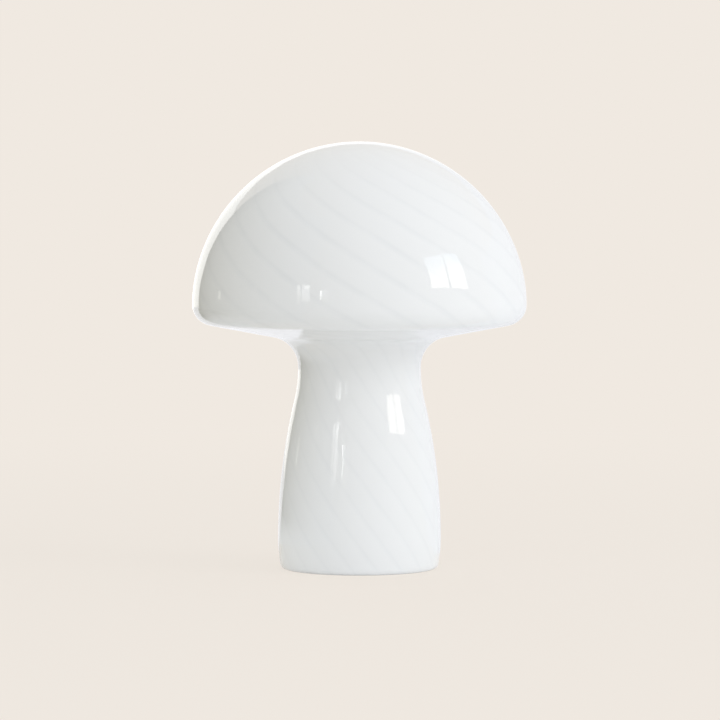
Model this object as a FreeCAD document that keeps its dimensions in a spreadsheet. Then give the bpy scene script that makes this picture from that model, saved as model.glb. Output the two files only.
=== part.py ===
import FreeCAD, Part
import math
import os
import Sketcher

# Mushroom table lamp: one blown opal glass, cap and stem in one piece, that stands over a
# small base unit with a lampholder and a golf-ball bulb.
# Frame: origin on the table under the lamp's axis, +Z up, the front is -Y, the cord leaves
# through a notch in the glass at +Y. All lengths are millimetres.

SIZES = (
    # The glass, outside faces
    ("lamp_height", 230.0, "top of the cap above the table"),
    ("cap_diameter", 180.0, "widest part of the cap"),
    ("cap_depth", 87.6, "from the top down to the widest part"),
    ("shoulder_round", 75.8, "profile radius of the cap's side"),
    ("shoulder_margin", 8.0, "least amount by which the cap outgrows the shoulder's radius"),
    ("rim_round", 11.1, "profile radius of the cap's lower edge"),
    ("neck_diameter", 66.0, "narrowest part of the stem"),
    ("neck_drop", 33.6, "from the widest part of the cap down to the neck"),
    ("throat_round", 16.4, "profile radius between the cap's underside and the neck"),
    ("waist_round", 79.8, "profile radius below the neck"),
    ("foot_diameter", 87.8, "widest part of the foot"),
    ("foot_height", 16.7, "height of the foot's widest part"),
    ("foot_round", 91.0, "profile radius of the foot"),
    ("glass_wall", 3.5, "thickness of the blown glass"),
    ("ground_edge_outside", 2.3, "rounding of the foot's outer edge"),
    ("ground_edge_inside", 0.7, "rounding of the foot's inner edge"),
    ("notch_width", 10.0, "cord notch in the back of the foot"),
    # The base pan with its feet, bush and clamped tube
    ("pan_clearance", 2.8, "from the pan's side to the mouth of the glass"),
    ("pan_top", 17.0, "height of the pan's top face"),
    ("pan_sheet", 1.2, "sheet thickness of the pan"),
    ("pan_lip", 9.0, "width of the pan's inturned lip"),
    ("pan_edge_round", 2.4, "rounding of the pan's upper edge"),
    ("pad_height", 2.0, "height of a rubber foot"),
    ("pad_radius", 3.6, "radius of a rubber foot"),
    ("bush_bore", 6.4, "hole for the cord in the bush"),
    ("bush_neck", 9.0, "waist of the bush, where the pan holds it"),
    ("bush_edge_gap", 0.5, "between the bush's heads and the pan's top and lip"),
    ("bush_head_length", 2.2, "length of each head"),
    ("bush_bow", 0.75, "extra waist length, because the pan's side is curved"),
    ("tube_diameter", 10.0, "threaded tube"),
    ("tube_bore", 8.0, "bore of the threaded tube"),
    ("tube_end", 0.8, "tube below the lower nut"),
    ("thread_clearance", 0.05, "radial clearance of plain-bored threads"),
    ("hole_clearance", 0.2, "radial clearance of drilled holes"),
    ("washer_diameter", 18.0, "washers on the tube"),
    ("washer_sheet", 1.0, "thickness of a washer"),
    ("nut_across_flats", 14.0, "hexagon nuts on the tube"),
    ("nut_thickness", 3.0, "thickness of a nut"),
    # The three sprung arms that centre the glass on the base
    ("arm_sheet", 0.8, "thickness of the spring strip"),
    ("arm_width", 6.0, "width of the spring strip"),
    ("arm_inset", 5.0, "from the pan's side to the bend of an arm"),
    ("arm_foot_length", 10.0, "riveted end of an arm"),
    ("arm_top", 50.5, "height of an arm's tip"),
    ("arm_upright", 6.0, "straight tip that carries the pad"),
    ("arm_knuckle", 0.75, "radius of the bend that flexes"),
    ("arm_running_gap", 0.05, "gap round the flexing bend"),
    ("grip_clearance", 0.32, "from a pad's corner to the glass"),
    ("grip_width", 8.0, "width of a silicone pad"),
    ("grip_skin", 0.9, "thickness of a silicone pad over the strip"),
    ("grip_height", 6.5, "height of a silicone pad"),
    ("rivet_diameter", 3.0, "shank of a rivet"),
    ("rivet_head", 5.4, "head of a rivet"),
    ("rivet_head_height", 0.9, "height of a rivet's head"),
    # The lampholder, heights counted from its lower end
    ("holder_height", 52.0, "lower end of the lampholder above the table"),
    ("holder_diameter", 27.0, "outside of the lampholder"),
    ("holder_wall", 1.5, "wall of the lampholder's dome"),
    ("entry_diameter", 16.0, "boss that screws on the tube"),
    ("entry_height", 8.5, "threaded depth of the boss"),
    ("dome_shoulder", 12.5, "height where the dome reaches full width"),
    ("dome_height", 27.0, "height of the dome's rim"),
    ("insert_floor", 20.0, "underside of the insert"),
    ("insert_ledge", 24.0, "face on which the skirt clamps the insert"),
    ("insert_top", 28.0, "face that carries the contacts"),
    ("insert_core", 17.0, "diameter of the insert's raised core"),
    ("shell_bore", 13.96, "bore of the threaded shell"),
    ("shell_sheet", 0.3, "sheet thickness of the shell"),
    ("shell_top", 46.0, "upper end of the shell"),
    ("shell_flange", 16.4, "flange of the shell on the insert"),
    ("skirt_top", 51.0, "mouth of the lampholder"),
    ("skirt_bore", 18.4, "inside of the skirt"),
    ("skirt_collar", 4.0, "height of the skirt's grip collar"),
    ("skirt_taper", 0.7, "radius that the skirt loses above its collar"),
    ("contact_sheet", 0.5, "thickness of the centre contact"),
    ("contact_width", 4.0, "width of the centre contact"),
    ("contact_reach", 5.2, "half length of the centre contact"),
    ("bulb_seat", 30.0, "tip of the bulb's contact"),
    ("contact_gap", 0.1, "between the centre contact and the bulb"),
    ("screw_diameter", 3.0, "shank of the small screws"),
    ("screw_head", 5.0, "head of a terminal screw"),
    ("screw_head_height", 1.8, "height of a terminal screw's head"),
    ("screw_spacing", 13.0, "distance between the terminal screws"),
    # The bulb, heights counted from the tip of its contact
    ("bulb_diameter", 45.0, "bulb's ball"),
    ("bulb_length", 78.0, "whole length of the bulb"),
    ("bulb_wall", 0.8, "wall of the bulb's glass"),
    ("bulb_neck", 15.4, "bulb's glass where the cap holds it"),
    ("bulb_neck_top", 27.0, "upper end of the straight glass neck"),
    ("cap_thread", 13.8, "outside of the bulb cap's thread"),
    ("cap_sheet", 0.3, "sheet thickness of the cap"),
    ("cap_start", 4.6, "lower end of the thread"),
    ("cap_end", 20.0, "upper end of the thread"),
    ("cap_flare", 16.8, "rim of the cap"),
    ("cap_height", 24.5, "height of the cap's rim"),
    ("cap_glass_clearance", 0.3, "cement gap between cap and glass"),
    ("button_diameter", 4.8, "contact button"),
    ("button_height", 1.0, "height of the contact button"),
    ("insulator_foot", 6.4, "insulator round the button"),
    ("insulator_top", 11.2, "insulator where it meets the cap"),
    ("insulator_height", 3.6, "height of the insulator's upper face"),
    ("mount_rim", 23.0, "lower edge of the glass mount"),
    ("mount_tube", 5.2, "diameter of the glass mount's tube"),
    ("mount_top", 38.0, "upper end of the glass mount"),
    ("wire_radius", 0.35, "lead and support wires"),
    ("wire_post", 1.5, "distance of the lead wires from the axis"),
    ("filament_circle", 9.0, "circle on which the filaments stand"),
    ("filament_radius", 0.8, "radius of a filament"),
    ("filament_low", 42.0, "height of the lower ring"),
    ("filament_high", 68.0, "height of the upper cross"),
)

ARMS = 3
FEET = 3
TERMINALS = 2
FILAMENTS = 4
REAR_ANGLE = 90.0
# How far a cut's outline runs past the solid
BEYOND = 5.0
# Two measures that differ by less are the same
SAME = 1e-4
# Largest shares of the glass wall that the foot's two roundings may take
MOST_OUTSIDE = 0.66
MOST_INSIDE = 0.21

doc = FreeCAD.newDocument("MushroomLamp")
sheet = doc.addObject("Spreadsheet::Sheet", "Sizes")
for row, (alias, number, note) in enumerate(SIZES, start=1):
    sheet.set(f"A{row}", note)
    sheet.set(f"B{row}", str(number))
    sheet.setAlias(f"B{row}", alias)
doc.recompute()


class Size:
    """A number together with the sheet expression that gives it."""

    def __init__(self, number, text):
        self.number = float(number)
        self.text = text

    def __add__(self, other):
        other = as_size(other)
        return Size(self.number + other.number, f"({self.text} + {other.text})")

    def __sub__(self, other):
        other = as_size(other)
        return Size(self.number - other.number, f"({self.text} - {other.text})")

    def __mul__(self, other):
        other = as_size(other)
        return Size(self.number * other.number, f"({self.text} * {other.text})")

    def __truediv__(self, other):
        other = as_size(other)
        return Size(self.number / other.number, f"({self.text} / {other.text})")

    def __neg__(self):
        return Size(-self.number, f"(0 - {self.text})")


def as_size(value):
    """A Size as it is, or a plain number as a Size."""
    if isinstance(value, Size):
        return value
    return Size(value, repr(float(value)))


def root(size):
    """Square root of a Size."""
    return Size(math.sqrt(size.number), f"sqrt({size.text})")


def smaller(one, other):
    """The smaller of two Sizes."""
    return Size(min(one.number, other.number), f"min({one.text}; {other.text})")


def size(alias):
    """The Size of one cell of the sheet."""
    return Size(sheet.get(alias), f"Sizes.{alias}")


def bind(thing, path, value):
    """Ties one property to the sheet."""
    thing.setExpression(path, as_size(value).text)


# ---------------------------------------------------------------- sketches


class Outline:
    """A closed sketch on one of the body's origin planes.

    Lines and arcs are drawn in order. Every end is then joined to the next start, and the
    corners, centres and radii are tied to the sheet.
    """

    def __init__(self, body, name, role, height=0.0):
        self.sketch = body.newObject("Sketcher::SketchObject", name)
        plane = [item for item in body.Origin.OriginFeatures if item.Role == role][0]
        self.sketch.AttachmentSupport = [(plane, "")]
        self.sketch.MapMode = "FlatFace"
        if isinstance(height, Size):
            bind(self.sketch, "AttachmentOffset.Base.z", height)

    def add(self, *arguments):
        return self.sketch.addConstraint(Sketcher.Constraint(*arguments))

    def line(self, start, end):
        """A straight edge; returns its index and its first and last end."""
        vectors = [FreeCAD.Vector(x, y, 0) for x, y in (start, end)]
        return self.sketch.addGeometry(Part.LineSegment(*vectors)), 1, 2

    def arc(self, centre, radius, start, end):
        """An arc from angle start to angle end in degrees, either way round."""
        circle = Part.Circle(FreeCAD.Vector(*centre, 0), FreeCAD.Vector(0, 0, 1), radius)
        low, high = math.radians(min(start, end)), math.radians(max(start, end))
        index = self.sketch.addGeometry(Part.ArcOfCircle(circle, low, high))
        return (index, 1, 2) if start < end else (index, 2, 1)

    def join(self, piece, following, kind="Coincident"):
        """Ties the last end of one edge to the first end of the next."""
        self.add(kind, piece[0], piece[2], following[0], following[1])

    def place(self, index, point, across=None, up=None):
        """Ties one point's two coordinates; a plain 0 puts it on the axis."""
        for value, kind, axis in ((across, "DistanceX", -2), (up, "DistanceY", -1)):
            if value is None:
                continue
            if isinstance(value, Size):
                number = self.add(kind, -1, 1, index, point, value.number)
                bind(self.sketch, f"Constraints[{number}]", value)
            else:
                self.add("PointOnObject", index, point, axis)

    def radius(self, index, value):
        number = self.add("Radius", index, value.number)
        bind(self.sketch, f"Constraints[{number}]", value)

    def polygon(self, corners):
        """Straight edges through corners, each a pair of Sizes or plain zeros."""
        numbers = [(as_size(x).number, as_size(y).number) for x, y in corners]
        edges = [self.line(numbers[i], numbers[(i + 1) % len(numbers)]) for i in range(len(numbers))]
        for edge, following, (across, up) in zip(edges, edges[1:] + edges[:1], corners):
            self.join(edge, following)
            self.place(edge[0], edge[1], across, up)
        return self

    def circle(self, across, up, radius):
        """A full circle."""
        centre = FreeCAD.Vector(as_size(across).number, as_size(up).number, 0)
        index = self.sketch.addGeometry(
            Part.Circle(centre, FreeCAD.Vector(0, 0, 1), radius.number)
        )
        self.place(index, 3, across, up)
        self.radius(index, radius)
        return self


# ---------------------------------------------------------------- features


def new_body(label):
    """An empty body, named as its file."""
    body = doc.addObject("PartDesign::Body", label)
    body.Label = label
    return body


def revolve(body, outline):
    """Turns an outline on the XZ plane once round the body's own Z axis."""
    feature = body.newObject("PartDesign::Revolution", body.Label + "_turned")
    feature.Profile = outline.sketch
    feature.ReferenceAxis = (outline.sketch, ["V_Axis"])
    feature.Angle = 360
    doc.recompute()
    return feature


def pad(body, outline, length, both_ways=False):
    """Adds material on an outline's plane, upwards or evenly to both sides."""
    feature = body.newObject("PartDesign::Pad", outline.sketch.Name + "_pad")
    feature.Profile = outline.sketch
    feature.Midplane = both_ways
    bind(feature, "Length", length)
    doc.recompute()
    return feature


def pocket(body, outline, length, both_ways=False, reverse=False):
    """Cuts an outline out of the body and makes sure that something was cut."""
    before = body.Shape.Volume
    feature = body.newObject("PartDesign::Pocket", outline.sketch.Name + "_cut")
    feature.Profile = outline.sketch
    feature.Midplane = both_ways
    feature.Reversed = reverse
    bind(feature, "Length", length)
    doc.recompute()
    if not body.Shape.Volume < before:
        raise RuntimeError(f"{feature.Name} cuts nothing")
    return feature


def round_edges(body, radius, chosen):
    """Rounds the edges of the body's tip that the test picks."""
    base = body.Tip
    names = [f"Edge{i}" for i, edge in enumerate(base.Shape.Edges, start=1) if chosen(edge)]
    feature = body.newObject("PartDesign::Fillet", f"{body.Label}_round_{len(body.Group)}")
    feature.Base = (base, names)
    bind(feature, "Radius", radius)
    doc.recompute()
    return feature


def ring_at(radius, height):
    """A test for the circular edge of one radius at one height."""

    def chosen(edge):
        if edge.Degenerated or edge.Curve.TypeId != "Part::GeomCircle":
            return False
        same_radius = abs(edge.Curve.Radius - radius) < SAME
        return same_radius and abs(edge.Curve.Center.z - height) < SAME

    return chosen


def repeat(body, features, count, angle=0.0):
    """Repeats features evenly round the body's Z axis, and turns the body by an angle."""
    before = body.Shape.Volume
    axis = [item for item in body.Origin.OriginFeatures if item.Role == "Z_Axis"][0]
    pattern = body.newObject("PartDesign::PolarPattern", body.Label + "_pattern")
    pattern.Originals = features
    pattern.Axis = (axis, [""])
    pattern.Angle = 360
    pattern.Occurrences = count
    body.Tip = pattern
    doc.recompute()
    if abs(body.Shape.Volume - before) < SAME:
        raise RuntimeError(f"{pattern.Name} repeats nothing")
    body.Placement.Rotation = FreeCAD.Rotation(FreeCAD.Vector(0, 0, 1), angle)


def turned(label, corners, height=None):
    """A round piece: a straight-edged profile of (radius, height) turned about Z."""
    body = new_body(label)
    revolve(body, Outline(body, label + "_profile", "XZ_Plane").polygon(corners))
    if height is not None:
        bind(body, "Placement.Base.z", height)
    return body


def ring_corners(inner, outer, low, high):
    """Profile of a plain ring, or of a disc where inner is a plain 0."""
    return [(inner, low), (outer, low), (outer, high), (inner, high)]


# ---------------------------------------------------------------- shared sizes

WALL = size("glass_wall")
FOOT_RADIUS = size("foot_diameter") / 2
NECK_RADIUS = size("neck_diameter") / 2
RIM_HEIGHT = size("lamp_height") - size("cap_depth")
NECK_HEIGHT = RIM_HEIGHT - size("neck_drop")


def flare_radius():
    """Profile radius of the stem's long flare, which is tangent to waist and foot."""
    step = FOOT_RADIUS - NECK_RADIUS
    rise = NECK_HEIGHT - size("foot_height")
    return (step * step + rise * rise) / (step * 2) - size("waist_round")


def stem_inside(height):
    """Radius of the glass inside the flare at a height above the foot's widest part."""
    flare = flare_radius()
    rise = height - size("foot_height")
    inner = flare - WALL
    return FOOT_RADIUS - flare + root(inner * inner - rise * rise)


def mouth_inside():
    """Radius of the glass at its open lower end."""
    inner = size("foot_round") - WALL
    drop = size("foot_height")
    return FOOT_RADIUS - size("foot_round") + root(inner * inner - drop * drop)


PAN_RADIUS = mouth_inside() - size("pan_clearance")
TUBE_RADIUS = size("tube_diameter") / 2
THREAD = size("thread_clearance")
DRILLED = size("hole_clearance")
PAN_TOP = size("pan_top")
SHEET = size("pan_sheet")
BUSH_HEIGHT = (size("pad_height") + PAN_TOP) / 2
HOLDER = size("holder_height")
NUT_LOW = PAN_TOP - SHEET - size("washer_sheet") - size("nut_thickness")
RIVET_CIRCLE = PAN_RADIUS - size("arm_inset") - size("arm_foot_length") / 2
PAD_CIRCLE = PAN_RADIUS - size("pan_lip") / 2


# ---------------------------------------------------------------- glass


def glass_wall_line(outline, inset):
    """One face of the glass from the crown to the table, moved inwards by inset.

    Crown, shoulder and rim arcs, the cap's slanting underside, the throat and waist arcs
    that meet at the neck, the long flare and the foot; each is tangent to the next.
    """
    top = size("lamp_height") - inset
    widest = size("cap_diameter") / 2 - inset
    rim_height, neck_height = RIM_HEIGHT, NECK_HEIGHT
    foot_height = size("foot_height")
    room = smaller(size("cap_diameter") / 2, size("cap_depth")) - size("shoulder_margin")
    shoulder = smaller(size("shoulder_round"), room) - inset
    rim = size("rim_round") - inset
    neck = NECK_RADIUS - inset
    throat = size("throat_round") + inset
    waist = size("waist_round") + inset
    flare = flare_radius() - inset
    foot = size("foot_round") - inset
    foot_edge = FOOT_RADIUS - inset

    rise = top.number - rim_height.number
    offset = widest.number - shoulder.number
    crown = (offset ** 2 + rise ** 2 - shoulder.number ** 2) / (2 * (rise - shoulder.number))
    crown_centre = (0.0, top.number - crown)
    shoulder_centre = (offset, rim_height.number)
    meet = math.degrees(math.atan2(shoulder_centre[1] - crown_centre[1], offset))

    rim_centre = (widest.number - rim.number, rim_height.number)
    throat_centre = (neck.number + throat.number, neck_height.number)
    across = throat_centre[0] - rim_centre[0]
    down = throat_centre[1] - rim_centre[1]
    tilt = math.atan2(down, across)
    lean = math.acos((rim.number + throat.number) / math.hypot(across, down))
    turn = tilt + lean if math.sin(tilt + lean) < 0 else tilt - lean
    normal = (math.cos(turn), math.sin(turn))
    leave = [rim_centre[i] + rim.number * normal[i] for i in range(2)]
    reach = [throat_centre[i] - throat.number * normal[i] for i in range(2)]
    under = math.degrees(math.atan2(normal[1], normal[0]))

    drop = neck_height.number - foot_height.number
    bend = math.degrees(math.asin(drop / (waist.number + flare.number)))
    sink = math.degrees(math.asin(foot_height.number / foot.number))
    edges = [
        outline.arc(crown_centre, crown, 90.0, meet),
        outline.arc(shoulder_centre, shoulder.number, meet, 0.0),
        outline.arc(rim_centre, rim.number, 0.0, under),
        outline.line(leave, reach),
        outline.arc(throat_centre, throat.number, under + 180.0, 180.0),
        outline.arc((neck.number + waist.number, neck_height.number), waist.number, 180.0, 180.0 + bend),
        outline.arc((foot_edge.number - flare.number, foot_height.number), flare.number, bend, 0.0),
        outline.arc((foot_edge.number - foot.number, foot_height.number), foot.number, 0.0, -sink),
    ]
    for edge, following in zip(edges, edges[1:]):
        outline.join(edge, following, "Tangent")
    crown_arc, shoulder_arc, rim_arc, _, throat_arc, waist_arc, flare_arc, foot_arc = edges
    outline.place(crown_arc[0], crown_arc[1], 0, top)
    outline.place(crown_arc[0], 3, across=0)
    outline.place(shoulder_arc[0], shoulder_arc[2], widest, rim_height)
    outline.place(shoulder_arc[0], 3, up=rim_height)
    outline.place(throat_arc[0], throat_arc[2], neck, neck_height)
    outline.place(waist_arc[0], 3, up=neck_height)
    outline.place(flare_arc[0], flare_arc[2], foot_edge, foot_height)
    outline.place(foot_arc[0], 3, up=foot_height)
    outline.place(foot_arc[0], foot_arc[2], up=0)
    for edge, value in (
        (shoulder_arc, shoulder), (rim_arc, rim), (throat_arc, throat), (waist_arc, waist), (foot_arc, foot)
    ):
        outline.radius(edge[0], value)
    sole = foot_edge.number - foot.number + math.sqrt(foot.number ** 2 - foot_height.number ** 2)
    return edges[0], edges[-1], (0.0, top.number), (sole, 0.0)


def make_glass():
    """Cap and stem, blown in one piece, open below, with a cord notch at the back."""
    body = new_body("glass_body")
    outline = Outline(body, "glass_profile", "XZ_Plane")
    outer_top, outer_foot, outer_crown, outer_sole = glass_wall_line(outline, as_size(0))
    inner_top, inner_foot, inner_crown, inner_sole = glass_wall_line(outline, WALL)
    sole = outline.line(outer_sole, inner_sole)
    axis = outline.line(inner_crown, outer_crown)
    outline.join(outer_foot, sole)
    outline.add("Coincident", sole[0], sole[2], inner_foot[0], inner_foot[2])
    outline.add("Coincident", axis[0], axis[1], inner_top[0], inner_top[1])
    outline.add("Coincident", axis[0], axis[2], outer_top[0], outer_top[1])
    revolve(body, outline)
    outside = smaller(size("ground_edge_outside"), WALL * MOST_OUTSIDE)
    inside = smaller(size("ground_edge_inside"), WALL * MOST_INSIDE)
    round_edges(body, outside, ring_at(outer_sole[0], 0.0))
    round_edges(body, inside, ring_at(inner_sole[0], 0.0))

    half = size("notch_width") / 2
    height = BUSH_HEIGHT
    notch = Outline(body, "notch", "XZ_Plane")
    low = -BEYOND
    arch = notch.arc((0.0, height.number), half.number, 0.0, 180.0)
    left = notch.line((-half.number, height.number), (-half.number, low))
    bottom = notch.line((-half.number, low), (half.number, low))
    right = notch.line((half.number, low), (half.number, height.number))
    notch.join(arch, left, "Tangent")
    notch.join(left, bottom)
    notch.join(bottom, right)
    notch.join(right, arch, "Tangent")
    notch.add("Horizontal", bottom[0])
    notch.place(arch[0], 3, 0, height)
    notch.place(bottom[0], 2, half, as_size(low))
    pocket(body, notch, FOOT_RADIUS + BEYOND)


# ---------------------------------------------------------------- base unit


def make_pan():
    """Pressed steel pan with an inturned lip, a bush hole and three rivet holes."""
    low = size("pad_height")
    lip = PAN_RADIUS - size("pan_lip")
    inside = PAN_RADIUS - SHEET
    hole = TUBE_RADIUS + DRILLED
    body = turned(
        "base_pan",
        [
            (hole, PAN_TOP - SHEET), (inside, PAN_TOP - SHEET), (inside, low + SHEET), (lip, low + SHEET),
            (lip, low), (PAN_RADIUS, low), (PAN_RADIUS, PAN_TOP), (hole, PAN_TOP),
        ],
    )
    upper = size("pan_edge_round")
    round_edges(body, upper, ring_at(PAN_RADIUS.number, PAN_TOP.number))
    round_edges(body, upper - SHEET, ring_at(inside.number, (PAN_TOP - SHEET).number))
    round_edges(body, SHEET, ring_at(PAN_RADIUS.number, low.number))
    bush = Outline(body, "bush_hole", "XZ_Plane")
    bush.circle(0, BUSH_HEIGHT, size("bush_neck") / 2 + THREAD)
    pocket(body, bush, PAN_RADIUS + BEYOND)
    rivet = Outline(body, "rivet_hole", "XY_Plane", PAN_TOP)
    rivet.circle(0, -RIVET_CIRCLE, size("rivet_diameter") / 2 + THREAD)
    first = pocket(body, rivet, SHEET * 2)
    repeat(body, [first], ARMS)


def stack(body, across, discs):
    """Discs on one vertical axis: each a name, a radius, a lower height and a thickness."""
    features = []
    for name, radius, low, thickness in discs:
        outline = Outline(body, name, "XY_Plane", low)
        outline.circle(across, 0, radius)
        features.append(pad(body, outline, thickness))
    return features


def make_feet():
    """Three rubber feet under the pan's lip, one of them at the front."""
    body = new_body("rubber_feet")
    features = stack(body, PAD_CIRCLE, [("foot_disc", size("pad_radius"), as_size(0), size("pad_height"))])
    repeat(body, features, FEET, REAR_ANGLE + 180.0 / FEET)


def make_bush():
    """Flanged bush that lines the cord hole in the back of the pan."""
    bore = size("bush_bore") / 2
    neck = size("bush_neck") / 2
    head = (PAN_TOP - size("pad_height")) / 2 - SHEET - size("bush_edge_gap")
    length = size("bush_head_length")
    waist = SHEET + size("bush_bow")
    full = length * 2 + waist
    body = turned(
        "cord_bush",
        [
            (bore, as_size(0)), (head, as_size(0)), (head, length), (neck, length),
            (neck, length + waist), (head, length + waist), (head, full), (bore, full),
        ],
    )
    turn = FreeCAD.Rotation(FreeCAD.Vector(1, 0, 0), -90.0)
    body.Placement = FreeCAD.Placement(FreeCAD.Vector(0, 0, 0), turn)
    bind(body, "Placement.Base.y", PAN_RADIUS + THREAD - waist - length)
    bind(body, "Placement.Base.z", BUSH_HEIGHT)


def make_tube():
    """Threaded tube that carries the lampholder; the cord's cores run up inside it."""
    low = NUT_LOW - size("tube_end")
    high = HOLDER + size("entry_height") - THREAD
    turned("stem_tube", ring_corners(size("tube_bore") / 2, TUBE_RADIUS, low, high))


def make_clamps():
    """A washer and a hexagon nut below the pan's top face, and the same above it."""
    washer = size("washer_sheet")
    nut = size("nut_thickness")
    under = PAN_TOP - SHEET
    rings = ring_corners(TUBE_RADIUS + DRILLED, size("washer_diameter") / 2, as_size(0), washer)
    turned("lower_washer", rings, under - washer)
    turned("upper_washer", rings, PAN_TOP)
    for label, low in (("lower_nut", NUT_LOW), ("upper_nut", PAN_TOP + washer)):
        hexagon = doc.addObject("Part::Prism", label + "_hexagon")
        hexagon.Polygon = 6
        bind(hexagon, "Circumradius", size("nut_across_flats") / root(as_size(3)))
        bind(hexagon, "Height", nut)
        bore = doc.addObject("Part::Cylinder", label + "_bore")
        bind(bore, "Radius", TUBE_RADIUS + THREAD)
        bind(bore, "Height", nut)
        cut = doc.addObject("Part::Cut", label)
        cut.Label = label
        cut.Base = hexagon
        cut.Tool = bore
        bind(cut, "Placement.Base.z", low)
    doc.recompute()


# ---------------------------------------------------------------- sprung arms

PIVOT_RADIUS = PAN_RADIUS - size("arm_inset")
PIVOT_HEIGHT = PAN_TOP + size("arm_knuckle") + size("arm_running_gap")


def grip_face():
    """Distance of a pad's flat outer face from the axis: its corners clear the glass."""
    highest = size("arm_top") + size("grip_skin")
    free = smaller(mouth_inside(), stem_inside(highest)) - size("grip_clearance")
    half = size("grip_width") / 2
    return root(free * free - half * half)


def make_arm_feet():
    """Riveted ends of the three arms, each hollowed round its arm's bend."""
    body = new_body("arm_feet")
    end = PIVOT_RADIUS - size("arm_knuckle") - size("arm_running_gap")
    start = RIVET_CIRCLE - size("arm_foot_length") / 2
    foot = Outline(body, "arm_foot", "XZ_Plane")
    foot.polygon(ring_corners(start, end, PAN_TOP, PAN_TOP + size("arm_sheet")))
    strip = pad(body, foot, size("arm_width"), both_ways=True)
    hole = Outline(body, "arm_foot_hole", "XY_Plane", PAN_TOP + size("arm_sheet"))
    hole.circle(RIVET_CIRCLE, 0, size("rivet_diameter") / 2 + THREAD)
    drilled = pocket(body, hole, size("arm_sheet") * 2)
    repeat(body, [strip, drilled], ARMS, -REAR_ANGLE)


def make_rivets():
    """Rivets through the arms' feet and the pan."""
    body = new_body("arm_rivets")
    shank_low = PAN_TOP - SHEET
    head_low = PAN_TOP + size("arm_sheet")
    head = size("rivet_head") / 2
    height = size("rivet_head_height")
    features = stack(
        body, RIVET_CIRCLE,
        [
            ("rivet_shank", size("rivet_diameter") / 2, shank_low, head_low - shank_low),
            ("rivet_head", head, head_low, height),
            ("rivet_tail", head, shank_low - height, height),
        ],
    )
    repeat(body, features, ARMS, -REAR_ANGLE)


def make_arms():
    """Three spring strips, each flexing about its bend, with a silicone pad on its tip."""
    sheet_size = size("arm_sheet")
    knuckle = size("arm_knuckle")
    outer = grip_face() - size("grip_skin")
    inner = outer - sheet_size
    top = size("arm_top")
    bend = top - size("arm_upright")
    gap = THREAD
    half = size("arm_width") / 2 + gap
    for number in range(1, ARMS + 1):
        turn = FreeCAD.Rotation(FreeCAD.Vector(0, 0, 1), -REAR_ANGLE + (number - 1) * 360.0 / ARMS)

        body = new_body(f"spring_arm_{number}")
        blade = Outline(body, f"blade_{number}", "XZ_Plane")
        blade.polygon([
            (PIVOT_RADIUS, PIVOT_HEIGHT - sheet_size / 2), (PIVOT_RADIUS + sheet_size, PIVOT_HEIGHT),
            (outer, bend), (outer, top), (inner, top), (inner, bend),
            (PIVOT_RADIUS, PIVOT_HEIGHT + sheet_size),
        ])
        pad(body, blade, size("arm_width"), both_ways=True)
        bend_round = Outline(body, f"bend_{number}", "XZ_Plane")
        bend_round.circle(PIVOT_RADIUS, PIVOT_HEIGHT, knuckle)
        pad(body, bend_round, size("arm_width"), both_ways=True)
        body.Placement.Rotation = turn

        body = new_body(f"arm_pad_{number}")
        low = top + size("grip_skin") - size("grip_height")
        block = Outline(body, f"grip_{number}", "XZ_Plane")
        block.polygon(ring_corners(inner - size("grip_skin"), grip_face(), low, top + size("grip_skin")))
        pad(body, block, size("grip_width"), both_ways=True)
        slot = Outline(body, f"grip_slot_{number}", "XY_Plane", low)
        slot.polygon([
            (inner - gap, -half), (outer + gap, -half), (outer + gap, half), (inner - gap, half),
        ])
        pocket(body, slot, top + gap - low, reverse=True)
        body.Placement.Rotation = turn


# ---------------------------------------------------------------- lampholder

HOLDER_RADIUS = size("holder_diameter") / 2
HOLDER_WALL = size("holder_wall")
ENTRY_RADIUS = size("entry_diameter") / 2
SLOPE_START = size("entry_height") - HOLDER_WALL * 1.5
LOCK_HEIGHT = SLOPE_START / 2
SCREW_RADIUS = size("screw_diameter") / 2
INSERT_FLOOR = size("insert_floor")
INSERT_LEDGE = size("insert_ledge")
INSERT_TOP = size("insert_top")
DOME_RIM = size("dome_height")


def make_dome():
    """Lower half of the lampholder, whose boss screws on the tube and holds a grub screw."""
    bore = TUBE_RADIUS + THREAD
    entry = size("entry_height")
    shoulder = size("dome_shoulder")
    inside = HOLDER_RADIUS - HOLDER_WALL
    body = turned(
        "holder_dome",
        [
            (bore, as_size(0)), (ENTRY_RADIUS, as_size(0)), (ENTRY_RADIUS, SLOPE_START),
            (HOLDER_RADIUS, shoulder), (HOLDER_RADIUS, DOME_RIM), (inside, DOME_RIM),
            (inside, shoulder + HOLDER_WALL / 2), (ENTRY_RADIUS, entry), (bore, entry),
        ],
        HOLDER,
    )
    lock = Outline(body, "lock_hole", "YZ_Plane")
    lock.circle(0, LOCK_HEIGHT, SCREW_RADIUS + THREAD)
    pocket(body, lock, ENTRY_RADIUS + BEYOND, reverse=True)


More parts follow.
